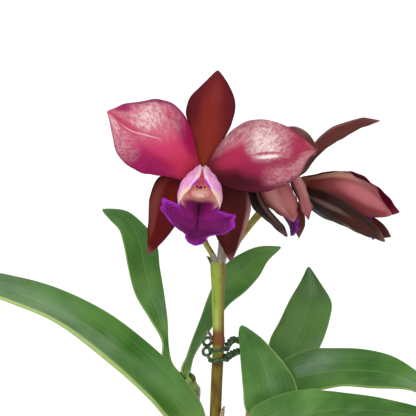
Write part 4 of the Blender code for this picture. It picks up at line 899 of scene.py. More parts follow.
centres, tangents = curve_through(
    [(0.0005, 0, 0.1668), (0.0010, 0, 0.1795), (0.0016, 0, 0.1953), (0.0023, 0, 0.2105), (0.0022, 0, 0.2301), (0.0022, 0, 0.2470)],
    120, start=(0, 0, 1),
)
tangents[0] = tangents[-1] = (0, 0, 1)
slim = 0.0025
girth = [(0, slim), (0.53, slim), (0.565, slim * 1.14), (0.585, slim * 1.08), (0.6, slim), (0.85, slim * 1.14), (0.97, slim * 1.36), (1, slim * 1.28)]
radii = [float(between(girth, s)) for s in np.linspace(0, 1, 120)]
together(
    "flower_stalk", [lambda first: rod(centres, tangents, radii, 40, stalk, first, ripple=lambda turn, along: 1 + 0.012 * math.sin(7 * turn))],
    ["flower_stem"],
)

scale = Finish("dry_scale", tint(196, 190, 176), 0.65)
across, along = scale.across_along()
vein = scale.noise(scale.stretched(across, along, 22.0, 2.0), 1.0, 3.0)
dry = scale.ramp(vein, [(0.3, tint(74, 62, 50)), (0.5, tint(140, 132, 120)), (0.75, tint(196, 192, 182))])
scale.paint(scale.mix(scale.smooth(along, 0.0, 0.35, 0.7, 0.0), dry, tint(168, 156, 92)))
scale.relief(vein, 0.0002, 0.6)
# For each scale: its side of the stem in degrees, height of its foot, length and width
SCALES = [(-118, 0.2452, 0.0060, 0.0024), (-66, 0.2446, 0.0135, 0.0032), (-20, 0.2446, 0.0075, 0.0030), (60, 0.2450, 0.0085, 0.0036), (165, 0.2440, 0.0050, 0.0036), (175, 0.2122, 0.0045, 0.0050)]


def scale_rod(side, z, length, width):
    def make(first):
        turn = math.radians(side)
        out = np.array([math.cos(turn), math.sin(turn), 0])
        cross = np.array([-out[1], out[0], 0])
        rows, cols = 18, 11
        top, low = [], []
        for i in range(rows):
            s = i / (rows - 1)
            reach = 0.0031 + 0.0006 * s + 0.0016 * s**2
            half = width / 2 * math.sqrt(max(0.0, 1 - s**2.2)) * (0.9 + 0.4 * s)
            for j in range(cols):
                x = -1 + 2 * j / (cols - 1)
                middle = np.array([0.0022, 0, z + length * s]) + out * (reach - 0.0009 * x * x) + cross * half * x
                top.append(middle + out * 0.00012)
                low.append(middle - out * 0.00012)
        front, front_places = patch(rows, cols, first=first)
        back, back_places = patch(rows, cols, first=first + rows * cols, flip=True)
        return top + low, (np.concatenate([front, back]), np.concatenate([front_places, back_places]), scale)
    return make


together("stem_scales", [scale_rod(*s) for s in SCALES])

# Sheath
# The papery sleeve that the flower buds pushed up through, split down one side and dry, at the stem's foot.

rows, cols = 30, 64
sheet = np.zeros((rows, cols, 3))
for i in range(rows):
    for j in range(cols):
        turn = math.radians(-60 + 315 * j / (cols - 1))
        top = 0.0165 * (0.78 + 0.22 * math.cos(turn)) * (1 - 0.03 * math.sin(9 * turn) - 0.02 * math.sin(23 * turn))
        z = top * i / (rows - 1)
        r = 0.0033 + 0.0004 * (i / (rows - 1)) ** 2
        sheet[i, j] = [0.0005 + r * math.cos(turn) + 0.055 * z, r * math.sin(turn), 0.1665 + SEAT_GAP + z]
blade("stem_sleeve", sheet, np.full((rows, cols), 0.00035), paper, paper, "sheath")

# Stake
# A thin split cane pushed into the bark behind the flower stem, with its joints left on.

split_cane = Finish("split_cane", tint(184, 152, 96), 0.55)
spot = split_cane.in_space()
fibres = split_cane.noise(split_cane.in_space(1, 1, 0.04), 1500.0, 3.0, 0.6)
wood = split_cane.ramp(fibres, [(0.3, tint(150, 116, 66)), (0.55, tint(188, 156, 100)), (0.8, tint(212, 186, 136))])
split_cane.paint(split_cane.mix(split_cane.smooth(split_cane.noise(spot, 160.0, 4.0), 0.55, 0.75, 0.0, 0.45), wood, tint(112, 84, 52)))
split_cane.relief(fibres, 0.0002, 0.6)
STAKE = (0.0160, 0.0035)
heights = np.linspace(0.012, 0.2135, 150)
radii = [0.0018 + 0.0002 * math.exp(-((z - 0.115) / 0.0012) ** 2) + 0.0002 * math.exp(-((z - 0.178) / 0.0012) ** 2) for z in heights]
centres = np.array([(*STAKE, z) for z in heights])
together("cane_stake", [lambda first: rod(centres, np.tile([0.0, 0.0, 1.0], (150, 1)), radii, 24, split_cane, first)], ["stake"])

# Tie
# Green plastic-coated garden wire: two turns round the flower stem below its joint, twisted hard upon itself
# as far as the stake and hooked round that, with the two spare ends curled up at the left.

wire = Finish("coated_wire", tint(40, 74, 34), 0.34, specular_ior_level=0.4, coat_weight=0.2, coat_roughness=0.25)
spot = wire.in_space()
worn = wire.smooth(wire.noise(spot, 500.0, 4.0), 0.45, 0.7)
wire.paint(wire.mix(worn, tint(34, 66, 28), tint(84, 120, 74)))
wire.relief(wire.noise(spot, 1600.0, 2.0), 0.00015, 0.4)
WIRE = 0.0007
stem_loop = 0.0025 * 1.14 + 0.0003 + WIRE
stake_loop = 0.0020 + 0.0003 + WIRE


def wire_rod(route, radius=WIRE, count=60):
    def make(first):
        centres, tangents = curve_through(route, count)
        return rod(centres, tangents, [radius] * count, 12, wire, first)
    return make


def coil(place, z, radius, tilt, start, sweep, climb=0.0):
    """Route points of a turn of wire that leans by tilt, from start through sweep, in degrees."""
    route = []
    for k in range(25):
        turn = math.radians(start + sweep * k / 24)
        x, y = radius * math.cos(turn), radius * math.sin(turn)
        route.append((place[0] + x, place[1] + y, z + x * math.tan(tilt) + climb * k / 24))
    return route


def strand(low, high, bow, phase):
    """Route points of one of two wires twisted together from low to high, bowed up by bow in the middle."""
    low, high = np.array(low), np.array(high)
    along = unit(high - low)
    up = unit(np.cross(np.cross(along, (0, 0, 1.0)), along))
    other = np.cross(along, up)
    route = []
    for k in range(61):
        s = k / 60
        turn = 2 * math.pi * 3.1 * s + phase
        wide = 0.00092 + 0.0005 * (1 - s) ** 3
        route.append(low + (high - low) * s + up * (bow * math.sin(math.pi * s) + wide * math.sin(turn)) + other * wide * math.cos(turn))
    return route


rods = [
    wire_rod(coil((0.0023, 0.0), 0.2086, stem_loop, 0.10, 10, 356), count=80),
    wire_rod(coil((0.0023, 0.0), 0.2043, stem_loop, 0.14, 10, 356), count=80),
    wire_rod(coil(STAKE, 0.2080, stake_loop, -0.08, 170, 352), count=60),
    wire_rod(coil(STAKE, 0.2104, stake_loop, 0.10, 170, 352), count=60),
]
for low, high, bow in (((0.0056, 0.0008, 0.2086), (0.0133, 0.0031, 0.2104), 0.0032), ((0.0050, -0.0006, 0.2046), (0.0133, 0.0031, 0.2080), 0.0006)):
    rods += [wire_rod(strand(low, high, bow, phase), count=120) for phase in (0.0, math.pi)]
for x, z in ((-0.0024, 0.2121), (-0.0026, 0.2078)):
    loop = [(x + 0.0017 * math.cos(t), -0.0004 + 0.0012 * math.cos(t), z + 0.0017 * math.sin(t)) for t in np.linspace(-1.4, 4.5, 22)]
    rods += [wire_rod(loop, count=44), wire_rod([(-0.0012, -0.0012, z - 0.0032), (-0.0020, -0.0010, z - 0.0024), loop[0]], count=20)]
together("wire_tie", rods, ["tie"])

# Flower stalks
# Each bloom's own stalk, which is also its seed vessel: a ribbed rod from the top of the flower stem, olive
# green with a brown flush, and thicker where it meets the back of the bloom.

ovary = Finish("bloom_stalk", tint(146, 142, 58), 0.45, specular_ior_level=0.3)
across, along = ovary.across_along()
cloud = ovary.noise(ovary.in_space(), 260.0, 4.0, 0.6)
green = ovary.ramp(cloud, [(0.3, tint(132, 124, 48)), (0.55, tint(162, 158, 70)), (0.8, tint(184, 178, 104))])
ribs = ovary.add("Math", {0: ovary.math("MULTIPLY", across, 37.7)}, operation="SINE")
green = ovary.mix(ovary.smooth(ribs, 0.2, 1.0, 0.0, 0.35), green, tint(108, 76, 46))
ovary.paint(ovary.mix(ovary.smooth(along, 0.55, 1.0, 0.0, 0.65), green, tint(150, 104, 82)))
ovary.relief(ribs, 0.0002, 0.5)
STEM_TOP = np.array([0.0022, 0.0, 0.2470])
STALKS = {
    "open": [(-1.9, -0.4), (-3.5, -3.0, 256), (-5.0, -6.5, 268), (-5.0, -8.5, 280)],
    "nodding": [(1.2, -1.5), (4.0, -0.5, 262), (9.0, 6.0, 282), (17.0, 12.5, 295.5), (21.5, 14.0, 292.5)],
    "side": [(0.9, 1.5), (10.5, 8.0, 254.5), (16.5, 17.0, 261.5), (22.5, 24.5, 268.0), (31.0, 30.0, 280.0)],
}
# Points are in millimetres from the bloom's centre.
BLOOMS = {
    "open": {
        "centre": (-4.5, -14, 287.5), "forward": (0, -1, 0), "dorsal": (0.10, 0, 0.995),
        "dorsal_sepal": {"fold": 10, "keel": 0.7,
            "left": [
                (-2.5, 1, 5), (-4, 1.5, 12), (-6, 2.5, 19.5), (-7, 3.5, 25.5), (-5, 4.5, 31),
                (-0.5, 5.5, 35.5), (6, 6, 42),
            ],
            "right": [
                (3.5, 1, 5), (8, 1.5, 11.5), (12, 2.5, 18.5), (14, 3.5, 27), (13, 4.5, 32),
                (10.5, 5.5, 37), (7, 6, 42),
            ],
        },
        "left_petal": {"fold": -20, "keel": 1.0,
            "left": [
                (-7, -1.5, -3.5), (-13.5, -1.5, -3), (-21, -1, -2), (-28.5, -0.5, 0), (-35, 0, 5),
                (-38, 0.5, 13.5), (-39.5, 1, 20.5), (-40.5, 1.5, 24),
            ],
            "right": [
                (-2.5, -1.5, 7.5), (-5.5, -2, 19), (-11.5, -2, 27.5), (-19, -1.5, 30), (-26, -1, 29),
                (-33, 0, 28), (-37.5, 1, 26), (-40.5, 1.5, 25),
            ],
        },
        "right_petal": {"fold": -20, "keel": 1.0,
            "left": [
                (5, -1.5, 8), (11, -2, 15.5), (18.5, -2, 20.5), (26, -1.5, 21.5), (33, -1, 19.5),
                (39.5, 0, 16.5), (44.5, 1, 12), (48, 1.5, 8.5),
            ],
            "right": [
                (8.5, -1.5, -6), (15.5, -1.5, -8.5), (22.5, -1, -9.5), (29.5, -0.5, -8.5),
                (36.5, 0, -6), (41.5, 0.5, -1.5), (45, 1, 4.5), (48, 1.5, 7.5),
            ],
        },
        "left_lateral_sepal": {"fold": -12, "keel": 1.0,
            "left": [
                (-3.5, 2, -8), (-6.5, 2.5, -14.5), (-9, 2.5, -20), (-12.5, 2.5, -25.5), (-17, 2, -31),
                (-22.5, 3, -36.5),
            ],
            "right": [
                (-11, 2, -2.5), (-18, 3.5, -3), (-22.5, 5, -12.5), (-23, 5.5, -22), (-23.5, 4.5, -29.5),
                (-23.5, 3, -36.5),
            ],
        },
        "right_lateral_sepal": {"fold": -12, "keel": 1.0,
            "left": [
                (11, 2, -5), (18, 3.5, -8), (20.5, 5, -15.5), (19, 5.5, -24.5), (16, 4.5, -32),
                (12.5, 3, -39.5),
            ],
            "right": [
                (3, 2, -8), (4, 2.5, -14.5), (4.5, 2.5, -21), (5.5, 2.5, -28), (8.5, 2, -33.5),
                (11.5, 3, -39.5),
            ],
        },
    },
    "nodding": {
        "centre": (23.5, 14, 284.5), "forward": (0.66, 0, -0.75), "dorsal": (0.75, 0, 0.66),
        "dorsal_sepal": {"fold": 30, "keel": 0.8,
            "left": [
                (2, -5, 8), (6, -7, 12.5), (10.5, -7, 15), (15, -5.5, 15), (18, -3.5, 12), (20, -1, 9),
                (20, 1, 7),
            ],
            "right": [
                (2.5, 6, 10), (6.5, 8, 16), (11.5, 9, 18.5), (16.5, 8, 16.5), (20, 6, 13.5),
                (22, 3.5, 10), (20.5, 2, 6.5),
            ],
        },
        "left_petal": {"fold": 38, "keel": 0.5,
            "left": [
                (-3.5, -9, -4.5), (-5, -11, -8.5), (-2, -11, -12.5), (2.5, -10, -16), (7.5, -8, -19),
                (11.5, -5, -21.5),
            ],
            "right": [
                (6.5, -8, -1), (10, -8, -5.5), (12, -8, -10), (13, -7, -14), (13, -5.5, -18),
                (12, -4.5, -21),
            ],
        },
        "right_petal": {"fold": 30, "keel": 0.7,
            "left": [
                (4.8, 1, 1), (8.8, 0, -2.5), (11.3, 0, -7.5), (13.4, 0, -12), (15.4, 0.5, -17),
                (18.3, 2, -21.5),
            ],
            "right": [
                (8, 6, 2), (13.5, 7, -1.5), (16.5, 7, -6), (19, 6, -12), (19.5, 4.5, -17),
                (18.5, 2.5, -21),
            ],
        },
        "left_lateral_sepal": {"fold": 22, "keel": 0.8,
            "left": [
                (-7, -11, -2.5), (-9, -14.5, -7.5), (-7.5, -16, -12), (-3.5, -15.5, -17),
                (2.5, -14, -22.5), (8, -10.5, -27.5),
            ],
            "right": [
                (-2.5, -15.5, -4), (-3, -17.5, -8), (-0.5, -19, -13), (3.5, -18.5, -18),
                (7, -15.5, -22), (9, -11, -27),
            ],
        },
        "right_lateral_sepal": {"fold": 25, "keel": 0.8,
            "left": [
                (-2, 6, -5.5), (0.5, 9, -11), (5, 10.5, -16), (9, 10, -21), (12, 8.5, -25.5),
                (14, 6, -29.5),
            ],
            "right": [
                (1, 7, -3), (8, 10.5, -7), (13, 11.5, -13), (16.5, 11, -18.5), (17, 9, -24),
                (14.5, 6.5, -29.5),
            ],
        },
    },
    "side": {
        "centre": (38.5, 36, 279), "forward": (0.94, 0, -0.34), "dorsal": (0.34, 0, 0.94),
        "dorsal_sepal": {"fold": 30, "keel": 0.8,
            "left": [
                (2.5, -5.5, 4.5), (5.5, -7.5, 9), (9, -9, 13), (15, -9.5, 17.5), (22, -8.5, 21.5),
                (28.5, -6, 24.5), (35.5, -2, 26.5),
            ],
            "right": [
                (1.5, 1, 6), (4, 3.5, 9.5), (7, 5.5, 15), (13, 6.5, 21.5), (21, 5.5, 25.5),
                (28, 3, 27.5), (35.5, -1.5, 27),
            ],
        },
        "left_petal": {"fold": 45, "keel": 0.9,
            "left": [
                (8, -10, -5), (14.5, -11, -8), (21, -12, -12), (27, -11.5, -14.5), (33, -10, -15.5),
                (37.5, -8, -15.5), (40.5, -6, -15),
            ],
            "right": [
                (7, -4, 2.5), (14.5, -2, 4), (21.5, -1, 3.5), (28, -1, 0.5), (33.5, -2, -3.5),
                (37.5, -4, -9.5), (41, -5.5, -14.5),
            ],
        },
        "right_petal": {"fold": 40, "keel": 0.9,
            "left": [
                (7.5, 3.5, 2.5), (15, 2.5, 4), (22.5, 3, 3.5), (29.5, 3, 1), (36, 2, -4), (40.5, 1, -9),
                (44.5, 0, -13.5),
            ],
            "right": [
                (8.5, 8, -5), (16, 10, -8), (23, 11, -11.5), (29.5, 10, -14.5), (35.5, 8, -16),
                (40, 5, -16), (44.5, 1, -14.5),
            ],
        },
        "left_lateral_sepal": {"fold": 25, "keel": 0.8,
            "left": [
                (2, -6, -9.5), (8, -8, -14.5), (16.5, -10, -18), (24, -11, -21.5), (30.5, -11, -24),
                (34.5, -11, -25.5), (37.5, -10, -26.5),
            ],
            "right": [
                (5, -10, -2.5), (11.5, -15, -3.5), (18.5, -17, -7), (25, -17, -11.5), (31, -15, -17),
                (35, -12.5, -21), (37.5, -10, -25.5),
            ],
        },
        "right_lateral_sepal": {"fold": 25, "keel": 0.8,
            "left": [
                (7, 10, -6), (14, 14, -9), (21.5, 15.5, -12.5), (28.5, 15, -15.5), (35, 12.5, -18),
                (39, 8, -21.5), (41, 3, -25),
            ],
            "right": [
                (6, 8, -11), (11.5, 12, -16.5), (19, 12.5, -20.5), (26.5, 11.5, -23.5),
                (33.5, 8.5, -26), (38, 5, -26), (41, 3, -25.5),
            ],
        },
    },
}


def bloom_frame(name):
    """A bloom's centre, and the ways it faces, stands up and spreads to the right as one looks at it."""
    bloom = BLOOMS[name]
    forward = unit(np.array(bloom["forward"], float))
    dorsal = np.array(bloom["dorsal"], float)
    dorsal = unit(dorsal - forward * (dorsal @ forward))
    return np.array(bloom["centre"]) / 1000, forward, dorsal, np.cross(dorsal, forward)


for name, (foot, *middle) in STALKS.items():
    centre, forward, _, _ = bloom_frame(name)
    head = centre + forward * -0.0019
    route = [STEM_TOP + [foot[0] / 1000, foot[1] / 1000, SEAT_GAP]] + [np.array(p) / 1000 for p in middle] + [head - forward * 0.003, head]
    centres, tangents = curve_through(route, 70, start=(0, 0, 1))
    tangents[0], tangents[-1] = (0, 0, 1), forward
    swelling = [(0, 0.00130), (0.04, 0.00120), (0.3, 0.0014), (0.75, 0.0020), (0.95, 0.0020), (1, 0.0018)]
    radii = [float(between(swelling, s)) for s in np.linspace(0, 1, 70)]
    ribbed = lambda turn, along: 1 + 0.05 * min(1.0, along * 2) * math.cos(6 * turn)
    together(name + "_bloom_stalk", [lambda first: rod(centres, tangents, radii, 48, ovary, first, ripple=ribbed)], [name + "_flower_stalk"])

# Sepals and petals
# Waxy blades set in two rings of three round the bloom's centre, the third petal being the lip. The sepals are
# brick red to maroon and smooth. The petals are magenta with a sunk midrib. Their paler crinkled sheen, glints
# and a streak along one midrib are painted highlights; darker lower edges and the insides of the half-open
# blooms are painted shade, and some sepals carry painted sheen.

TEPALS = {
    "dorsal_sepal": (0, "sepal"), "left_petal": (-70, "petal"), "right_petal": (70, "petal"),
    "left_lateral_sepal": (-130, "sepal"), "right_lateral_sepal": (130, "sepal"),
}


# A near-white painted highlight, laid on the petals through their crinkled pattern.
PAINTED_GLARE = tint(246, 226, 224)


def tepal_finish(name, base, heart, body, rim, tip, patches, roughness=0.42, line=0.0, crinkle=0.5, pale=tint(214, 164, 168), fade=0.8, gleam=0.12):
    """A sepal's or petal's face. Colours run from its base through its heart to its body and rim. patches holds
    (across, along, width, length, strength, colour) for soft areas, among them painted sheen, painted highlights and
    painted shade; no colour means the pale crinkled painted sheen. line is the strength of a painted highlight along
    the midrib."""
    made = Finish(name, body, roughness, specular_ior_level=gleam)
    across, along = made.across_along()
    off = made.math("ABSOLUTE", made.math("SUBTRACT", across, 0.5))
    sway = made.math("MULTIPLY", made.math("SUBTRACT", made.noise(made.in_space(), 110.0, 3.0), 0.5), 0.22)
    s = made.math("ADD", along, sway)
    colour = made.mix(made.smooth(s, 0.0, 0.24), base, heart)
    colour = made.mix(made.smooth(s, 0.16, 0.62), colour, body)
    shake = made.math("MULTIPLY", made.math("SUBTRACT", made.noise(made.in_space(), 300.0, 4.0, 0.65), 0.5), 0.10)
    fan = made.math("ADD", made.math("SUBTRACT", along, made.math("MULTIPLY", off, 0.55)), shake)
    fine = made.noise(made.stretched(off, fan, 9.0, 62.0), 1.0, 5.0, 0.75)
    colour = made.mix(made.smooth(fine, 0.4, 0.7, 0.0, 0.22), colour, rim)
    colour = made.mix(made.smooth(made.math("ADD", off, made.math("MULTIPLY", sway, 0.4)), 0.40, 0.5, 0.0, fade), colour, rim)
    colour = made.mix(made.smooth(s, 0.88, 1.0, 0.0, 0.8), colour, tip)
    net = made.noise(made.stretched(made.math("ADD", across, shake), fan, 15.0, 22.0), 1.0, 4.0, 0.8)
    crackle = made.math("MULTIPLY", made.smooth(fine, 0.34, 0.60, 0.25, 1.0), made.smooth(net, 0.36, 0.60, 0.25, 1.0))
    for u, v, wide, long, strength, shade in patches:
        a = made.math("DIVIDE", made.math("SUBTRACT", across, u), wide)
        b = made.math("DIVIDE", made.math("SUBTRACT", along, v), long)
        far = made.math("ADD", made.math("MULTIPLY", a, a), made.math("MULTIPLY", b, b))
        far = made.math("ADD", far, made.math("MULTIPLY", sway, 3.0))
        share = made.smooth(far, 0.0, 1.2, strength, 0.0)
        # Patches with no colour are painted sheen and the glare ones painted highlights, both broken up by the
        # crinkles.
        if shade in (None, PAINTED_GLARE):
            share = made.math("MULTIPLY", share, crackle)
        colour = made.mix(share, colour, pale if shade is None else shade)
    # A pale painted highlight along the midrib, of strength line, on its middle stretch.
    if line:
        painted_midrib_highlight = made.math("MULTIPLY", made.smooth(off, 0.0, 0.016, line, 0.0), made.smooth(made.math("ABSOLUTE", made.math("SUBTRACT", along, 0.66)), 0.08, 0.28, 1.0, 0.0))
        colour = made.mix(painted_midrib_highlight, colour, tint(232, 190, 190))
    made.paint(colour)
    made.relief(made.math("ADD", fine, net), 0.00034, crinkle)
    return made


PLUM = tint(116, 12, 72)
FACES = {
    # On the dorsal sepal, the patch at (0.6, 0.76) is a painted highlight.
    "open_dorsal_sepal": tepal_finish("dorsal_face", tint(138, 50, 24), tint(130, 38, 24), tint(110, 24, 28), tint(70, 4, 14), tint(98, 24, 30), [
        (0.5, 0.40, 0.26, 0.46, 0.8, tint(130, 38, 28)), (0.6, 0.76, 0.18, 0.16, 0.5, tint(126, 46, 42)), (0.1, 0.66, 0.22, 0.3, 0.7, tint(78, 8, 20)),
        (0.92, 0.66, 0.18, 0.4, 0.6, tint(80, 8, 18))], 0.5, crinkle=0.12, fade=0.95),
    # On the left petal, the patch at (0.10, 0.50) darkens its lower edge as painted shade; the patches without a colour
    # are painted sheen, and the glare ones painted highlights.
    "open_left_petal": tepal_finish("left_petal_face", tint(182, 46, 74), tint(198, 48, 82), tint(188, 50, 98), PLUM, tint(184, 72, 88), [
        (0.90, 0.24, 0.34, 0.24, 1.0, tint(150, 0, 70)), (0.10, 0.50, 0.24, 0.34, 0.85, tint(148, 10, 82)), (0.5, 0.36, 0.24, 0.24, 0.7, tint(206, 60, 106)),
        (0.78, 0.64, 0.42, 0.40, 0.85, None), (0.22, 0.84, 0.30, 0.26, 0.85, None), (0.54, 0.80, 0.10, 0.26, 0.7, tint(186, 46, 82)),
        (0.74, 0.62, 0.22, 0.16, 0.8, PAINTED_GLARE), (0.34, 0.92, 0.16, 0.12, 0.6, PAINTED_GLARE), (0.88, 0.86, 0.14, 0.10, 0.95, tint(150, 24, 86)),
        (0.99, 0.62, 0.05, 0.40, 0.7, PLUM)], line=1.0, crinkle=0.7),
    # On the right petal, the patches at (0.92, 0.26) and (0.97, 0.50) darken its lower edge as painted shade; those
    # without a colour are painted sheen, and the glare ones and the near-white streak at (0.52, 0.56) painted
    # highlights.
    "open_right_petal": tepal_finish("right_petal_face", tint(104, 32, 42), tint(136, 34, 54), tint(164, 44, 78), tint(110, 24, 60), tint(174, 92, 98), [
        (0.40, 0.26, 0.26, 0.20, 0.8, tint(180, 42, 82)), (0.92, 0.26, 0.36, 0.34, 1.0, tint(70, 4, 24)), (0.60, 0.42, 0.22, 0.18, 0.6, tint(160, 30, 78)),
        (0.12, 0.46, 0.22, 0.40, 0.8, None), (0.30, 0.60, 0.40, 0.26, 0.9, None), (0.80, 0.70, 0.26, 0.24, 0.75, None), (0.74, 0.90, 0.28, 0.12, 0.8, None),
        (0.36, 0.86, 0.22, 0.12, 0.8, tint(166, 48, 82)), (0.62, 0.62, 0.08, 0.30, 0.8, tint(150, 34, 72)),
        (0.34, 0.54, 0.26, 0.18, 0.85, PAINTED_GLARE), (0.36, 0.55, 0.16, 0.11, 0.8, PAINTED_GLARE), (0.52, 0.56, 0.03, 0.11, 0.85, tint(250, 238, 238)),
        (0.465, 0.55, 0.022, 0.16, 0.8, tint(176, 48, 88)), (0.97, 0.50, 0.08, 0.40, 0.6, tint(90, 22, 46)),
        (0.34, 0.885, 0.020, 0.012, 1.0, tint(104, 12, 58))], line=0.0, crinkle=0.7),
    # The pale patch at (0.82, 0.55) on the left lateral sepal is painted sheen.
    "open_left_lateral_sepal": tepal_finish("left_sepal_face", tint(100, 16, 10), tint(98, 12, 8), tint(88, 14, 12), tint(60, 6, 10), tint(148, 82, 90), [
        (0.82, 0.55, 0.18, 0.34, 0.5, tint(132, 66, 58)), (0.3, 0.25, 0.3, 0.3, 0.5, tint(110, 34, 20))], 0.42, crinkle=0.2, gleam=0.08),
    # The greyish-pink patch at (0.03, 0.74) on the right lateral sepal is painted sheen.
    "open_right_lateral_sepal": tepal_finish("right_sepal_face", tint(56, 6, 8), tint(58, 6, 8), tint(72, 14, 14), tint(56, 12, 12), tint(138, 90, 94), [
        (0.03, 0.74, 0.16, 0.36, 0.95, tint(158, 112, 106)), (0.7, 0.6, 0.2, 0.3, 0.4, tint(96, 36, 34))], 0.42, crinkle=0.2, gleam=0.08),
    # The near sepal of the nodding bloom: its near-black heart and body are dark brown deepened as painted shade, and
    # both patches are painted sheen.
    "nodding_left_lateral_sepal": tepal_finish("near_sepal", tint(54, 38, 28), tint(14, 2, 3), tint(26, 10, 9), tint(52, 34, 30), tint(92, 66, 60), [
        (0.80, 0.62, 0.12, 0.50, 0.6, tint(110, 84, 78)), (0.5, 0.85, 0.3, 0.2, 0.5, tint(96, 68, 62))], 0.34, crinkle=0.35, gleam=0.12),
    # The pale patches at (0.36, 0.50) and (0.7, 0.62) on the nodding bloom's near petal are painted sheen.
    "nodding_left_petal": tepal_finish("near_petal", tint(156, 102, 88), tint(146, 66, 64), tint(166, 86, 88), tint(100, 40, 42), tint(190, 124, 118), [
        (0.36, 0.50, 0.18, 0.4, 0.8, tint(206, 144, 140)), (0.7, 0.62, 0.2, 0.3, 0.5, tint(184, 118, 114)), (0.02, 0.5, 0.14, 0.5, 0.8, tint(92, 30, 34))], crinkle=0.6),
    # On its far petal, the pale patch at (0.60, 0.45) is painted sheen and the near-black one at (0.02, 0.42) painted
    # shade.
    "nodding_right_petal": tepal_finish("far_petal", tint(150, 100, 92), tint(150, 80, 80), tint(166, 98, 98), tint(126, 62, 64), tint(160, 54, 68), [
        (0.60, 0.45, 0.26, 0.5, 0.7, tint(194, 136, 132)), (0.02, 0.42, 0.20, 0.40, 0.95, tint(52, 6, 14)), (0.98, 0.42, 0.16, 0.40, 0.8, tint(92, 36, 40))], crinkle=0.5),
    # The pale patch at (0.60, 0.42) on the side bloom's near sepal is a painted highlight.
    "side_left_lateral_sepal": tepal_finish("side_near_sepal", tint(66, 40, 30), tint(26, 8, 6), tint(40, 13, 10), tint(70, 38, 28), tint(118, 84, 74), [
        (0.60, 0.42, 0.11, 0.24, 0.5, tint(140, 108, 102)), (0.4, 0.72, 0.4, 0.26, 0.6, tint(84, 38, 32))], 0.32, crinkle=0.3, gleam=0.16),
    # On the side bloom's near petal, the tan patch at (0.80, 0.32) is a painted highlight and the pink one at (0.45,
    # 0.66) painted sheen.
    "side_left_petal": tepal_finish("side_near_petal", tint(140, 84, 62), tint(116, 48, 46), tint(142, 62, 68), tint(98, 34, 38), tint(184, 114, 108), [
        (0.80, 0.32, 0.18, 0.34, 0.8, tint(184, 128, 106)), (0.45, 0.66, 0.24, 0.34, 0.75, tint(190, 112, 116)), (0.12, 0.5, 0.2, 0.4, 0.7, tint(98, 36, 40))], crinkle=0.5),
    "side_right_petal": tepal_finish("side_far_petal", tint(110, 40, 40), tint(104, 6, 26), tint(116, 8, 30), tint(90, 4, 24), tint(140, 58, 62), [
        (0.5, 0.5, 0.3, 0.4, 0.4, tint(140, 20, 48))], crinkle=0.4),
}
# The inner faces of the half-open blooms' petals: dark red, their magenta deepened as painted shade inside the blooms.
shaded_petal_inside = tepal_finish("shaded_petal_inside", tint(110, 14, 32), tint(104, 6, 30), tint(112, 10, 38), tint(92, 6, 34), tint(140, 46, 60), [])
# The petals' backs: the two patches without a colour are painted sheen.
petal_back = tepal_finish("petal_back", tint(140, 92, 76), tint(146, 78, 82), tint(162, 90, 98), tint(126, 62, 76), tint(172, 112, 104), [
    (0.3, 0.6, 0.25, 0.3, 0.8, None), (0.75, 0.5, 0.2, 0.35, 0.7, None)], 0.42, crinkle=0.6, pale=tint(204, 148, 152))
# The sepals' backs: the pale patch at (0.6, 0.5) is painted sheen.
sepal_back = tepal_finish("sepal_back", tint(104, 78, 56), tint(92, 46, 40), tint(96, 44, 40), tint(76, 38, 36), tint(134, 92, 86), [
    (0.6, 0.5, 0.15, 0.35, 0.6, tint(140, 96, 90))], 0.42, crinkle=0.35)

for bloom_name, bloom in BLOOMS.items():
    centre, forward, dorsal, rightward = bloom_frame(bloom_name)
    for tepal_name, (turn, kind) in TEPALS.items():
        turn, sepal, spec = math.radians(turn), kind == "sepal", bloom[tepal_name]
        outward = dorsal * math.cos(turn) + rightward * math.sin(turn)
        middle = centre + 0.0020 * outward + forward * (-0.0010 if sepal else 0.0004)
        side = np.cross(outward, forward) * (0.0017 if sepal else 0.0013)
        left, right = (centre + np.array(spec[k]) / 1000 for k in ("left", "right"))
        fold = [(0, 4 if spec["fold"] > 0 else -4), (0.35, spec["fold"]), (1, spec["fold"] * 0.4)]
        keel = [(0, 1.0), (0.35, spec["keel"]), (1, 1.0)]
        rows, cols = 90, 49
        sheet = blade_sheet([middle - side, middle + side], left, right, fold, keel, rows, cols)
        s, x = np.meshgrid(np.linspace(0, 1, rows), np.linspace(-1, 1, cols), indexing="ij")
        open_out = np.clip((s - 0.12) * 3, 0, 1) * np.clip((1 - s) * 8, 0, 1)
        phase = len(bloom_name) + 2.1 * len(tepal_name)
        edge = np.sin(2 * np.pi * (3.2 * s + 0.3 * np.sign(x)) + phase) + 0.5 * np.sin(2 * np.pi * 7.3 * s * np.sign(x) + phase)
        relief = (0.00022 if sepal else 0.00048) * edge * np.abs(x) ** 3
        relief += 0.00010 * np.sin(9 * x + 14 * s + phase) * np.sin(11 * s + 3 * x)
        relief -= (0.00008 if sepal else 0.00028) * np.exp(-((x / (0.12 if sepal else 0.045)) ** 2))
        face, back = (sepal_back if sepal else shaded_petal_inside), (sepal_back if sepal else petal_back)
        if bloom_name == "open":
            face = FACES["open_" + tepal_name]
        else:
            back = FACES.get(bloom_name + "_" + tepal_name, back)
        thick = swell(rows, cols, 0.0011 if sepal else 0.0009, 0.00045, 2.0, ((0, 1), (0.2, 1), (0.85, 0.85), (1, 0.2)))
        blade(bloom_name + "_" + tepal_name + "_blade", sheet, thick, face, back, bloom_name + "_" + tepal_name, relief=relief * open_out)

# Lips
# The third petal of each bloom: two pale pink side lobes roll up into a tube over the column, and a frilled
# middle lobe spreads below it, velvety purple with finely feathered veins.

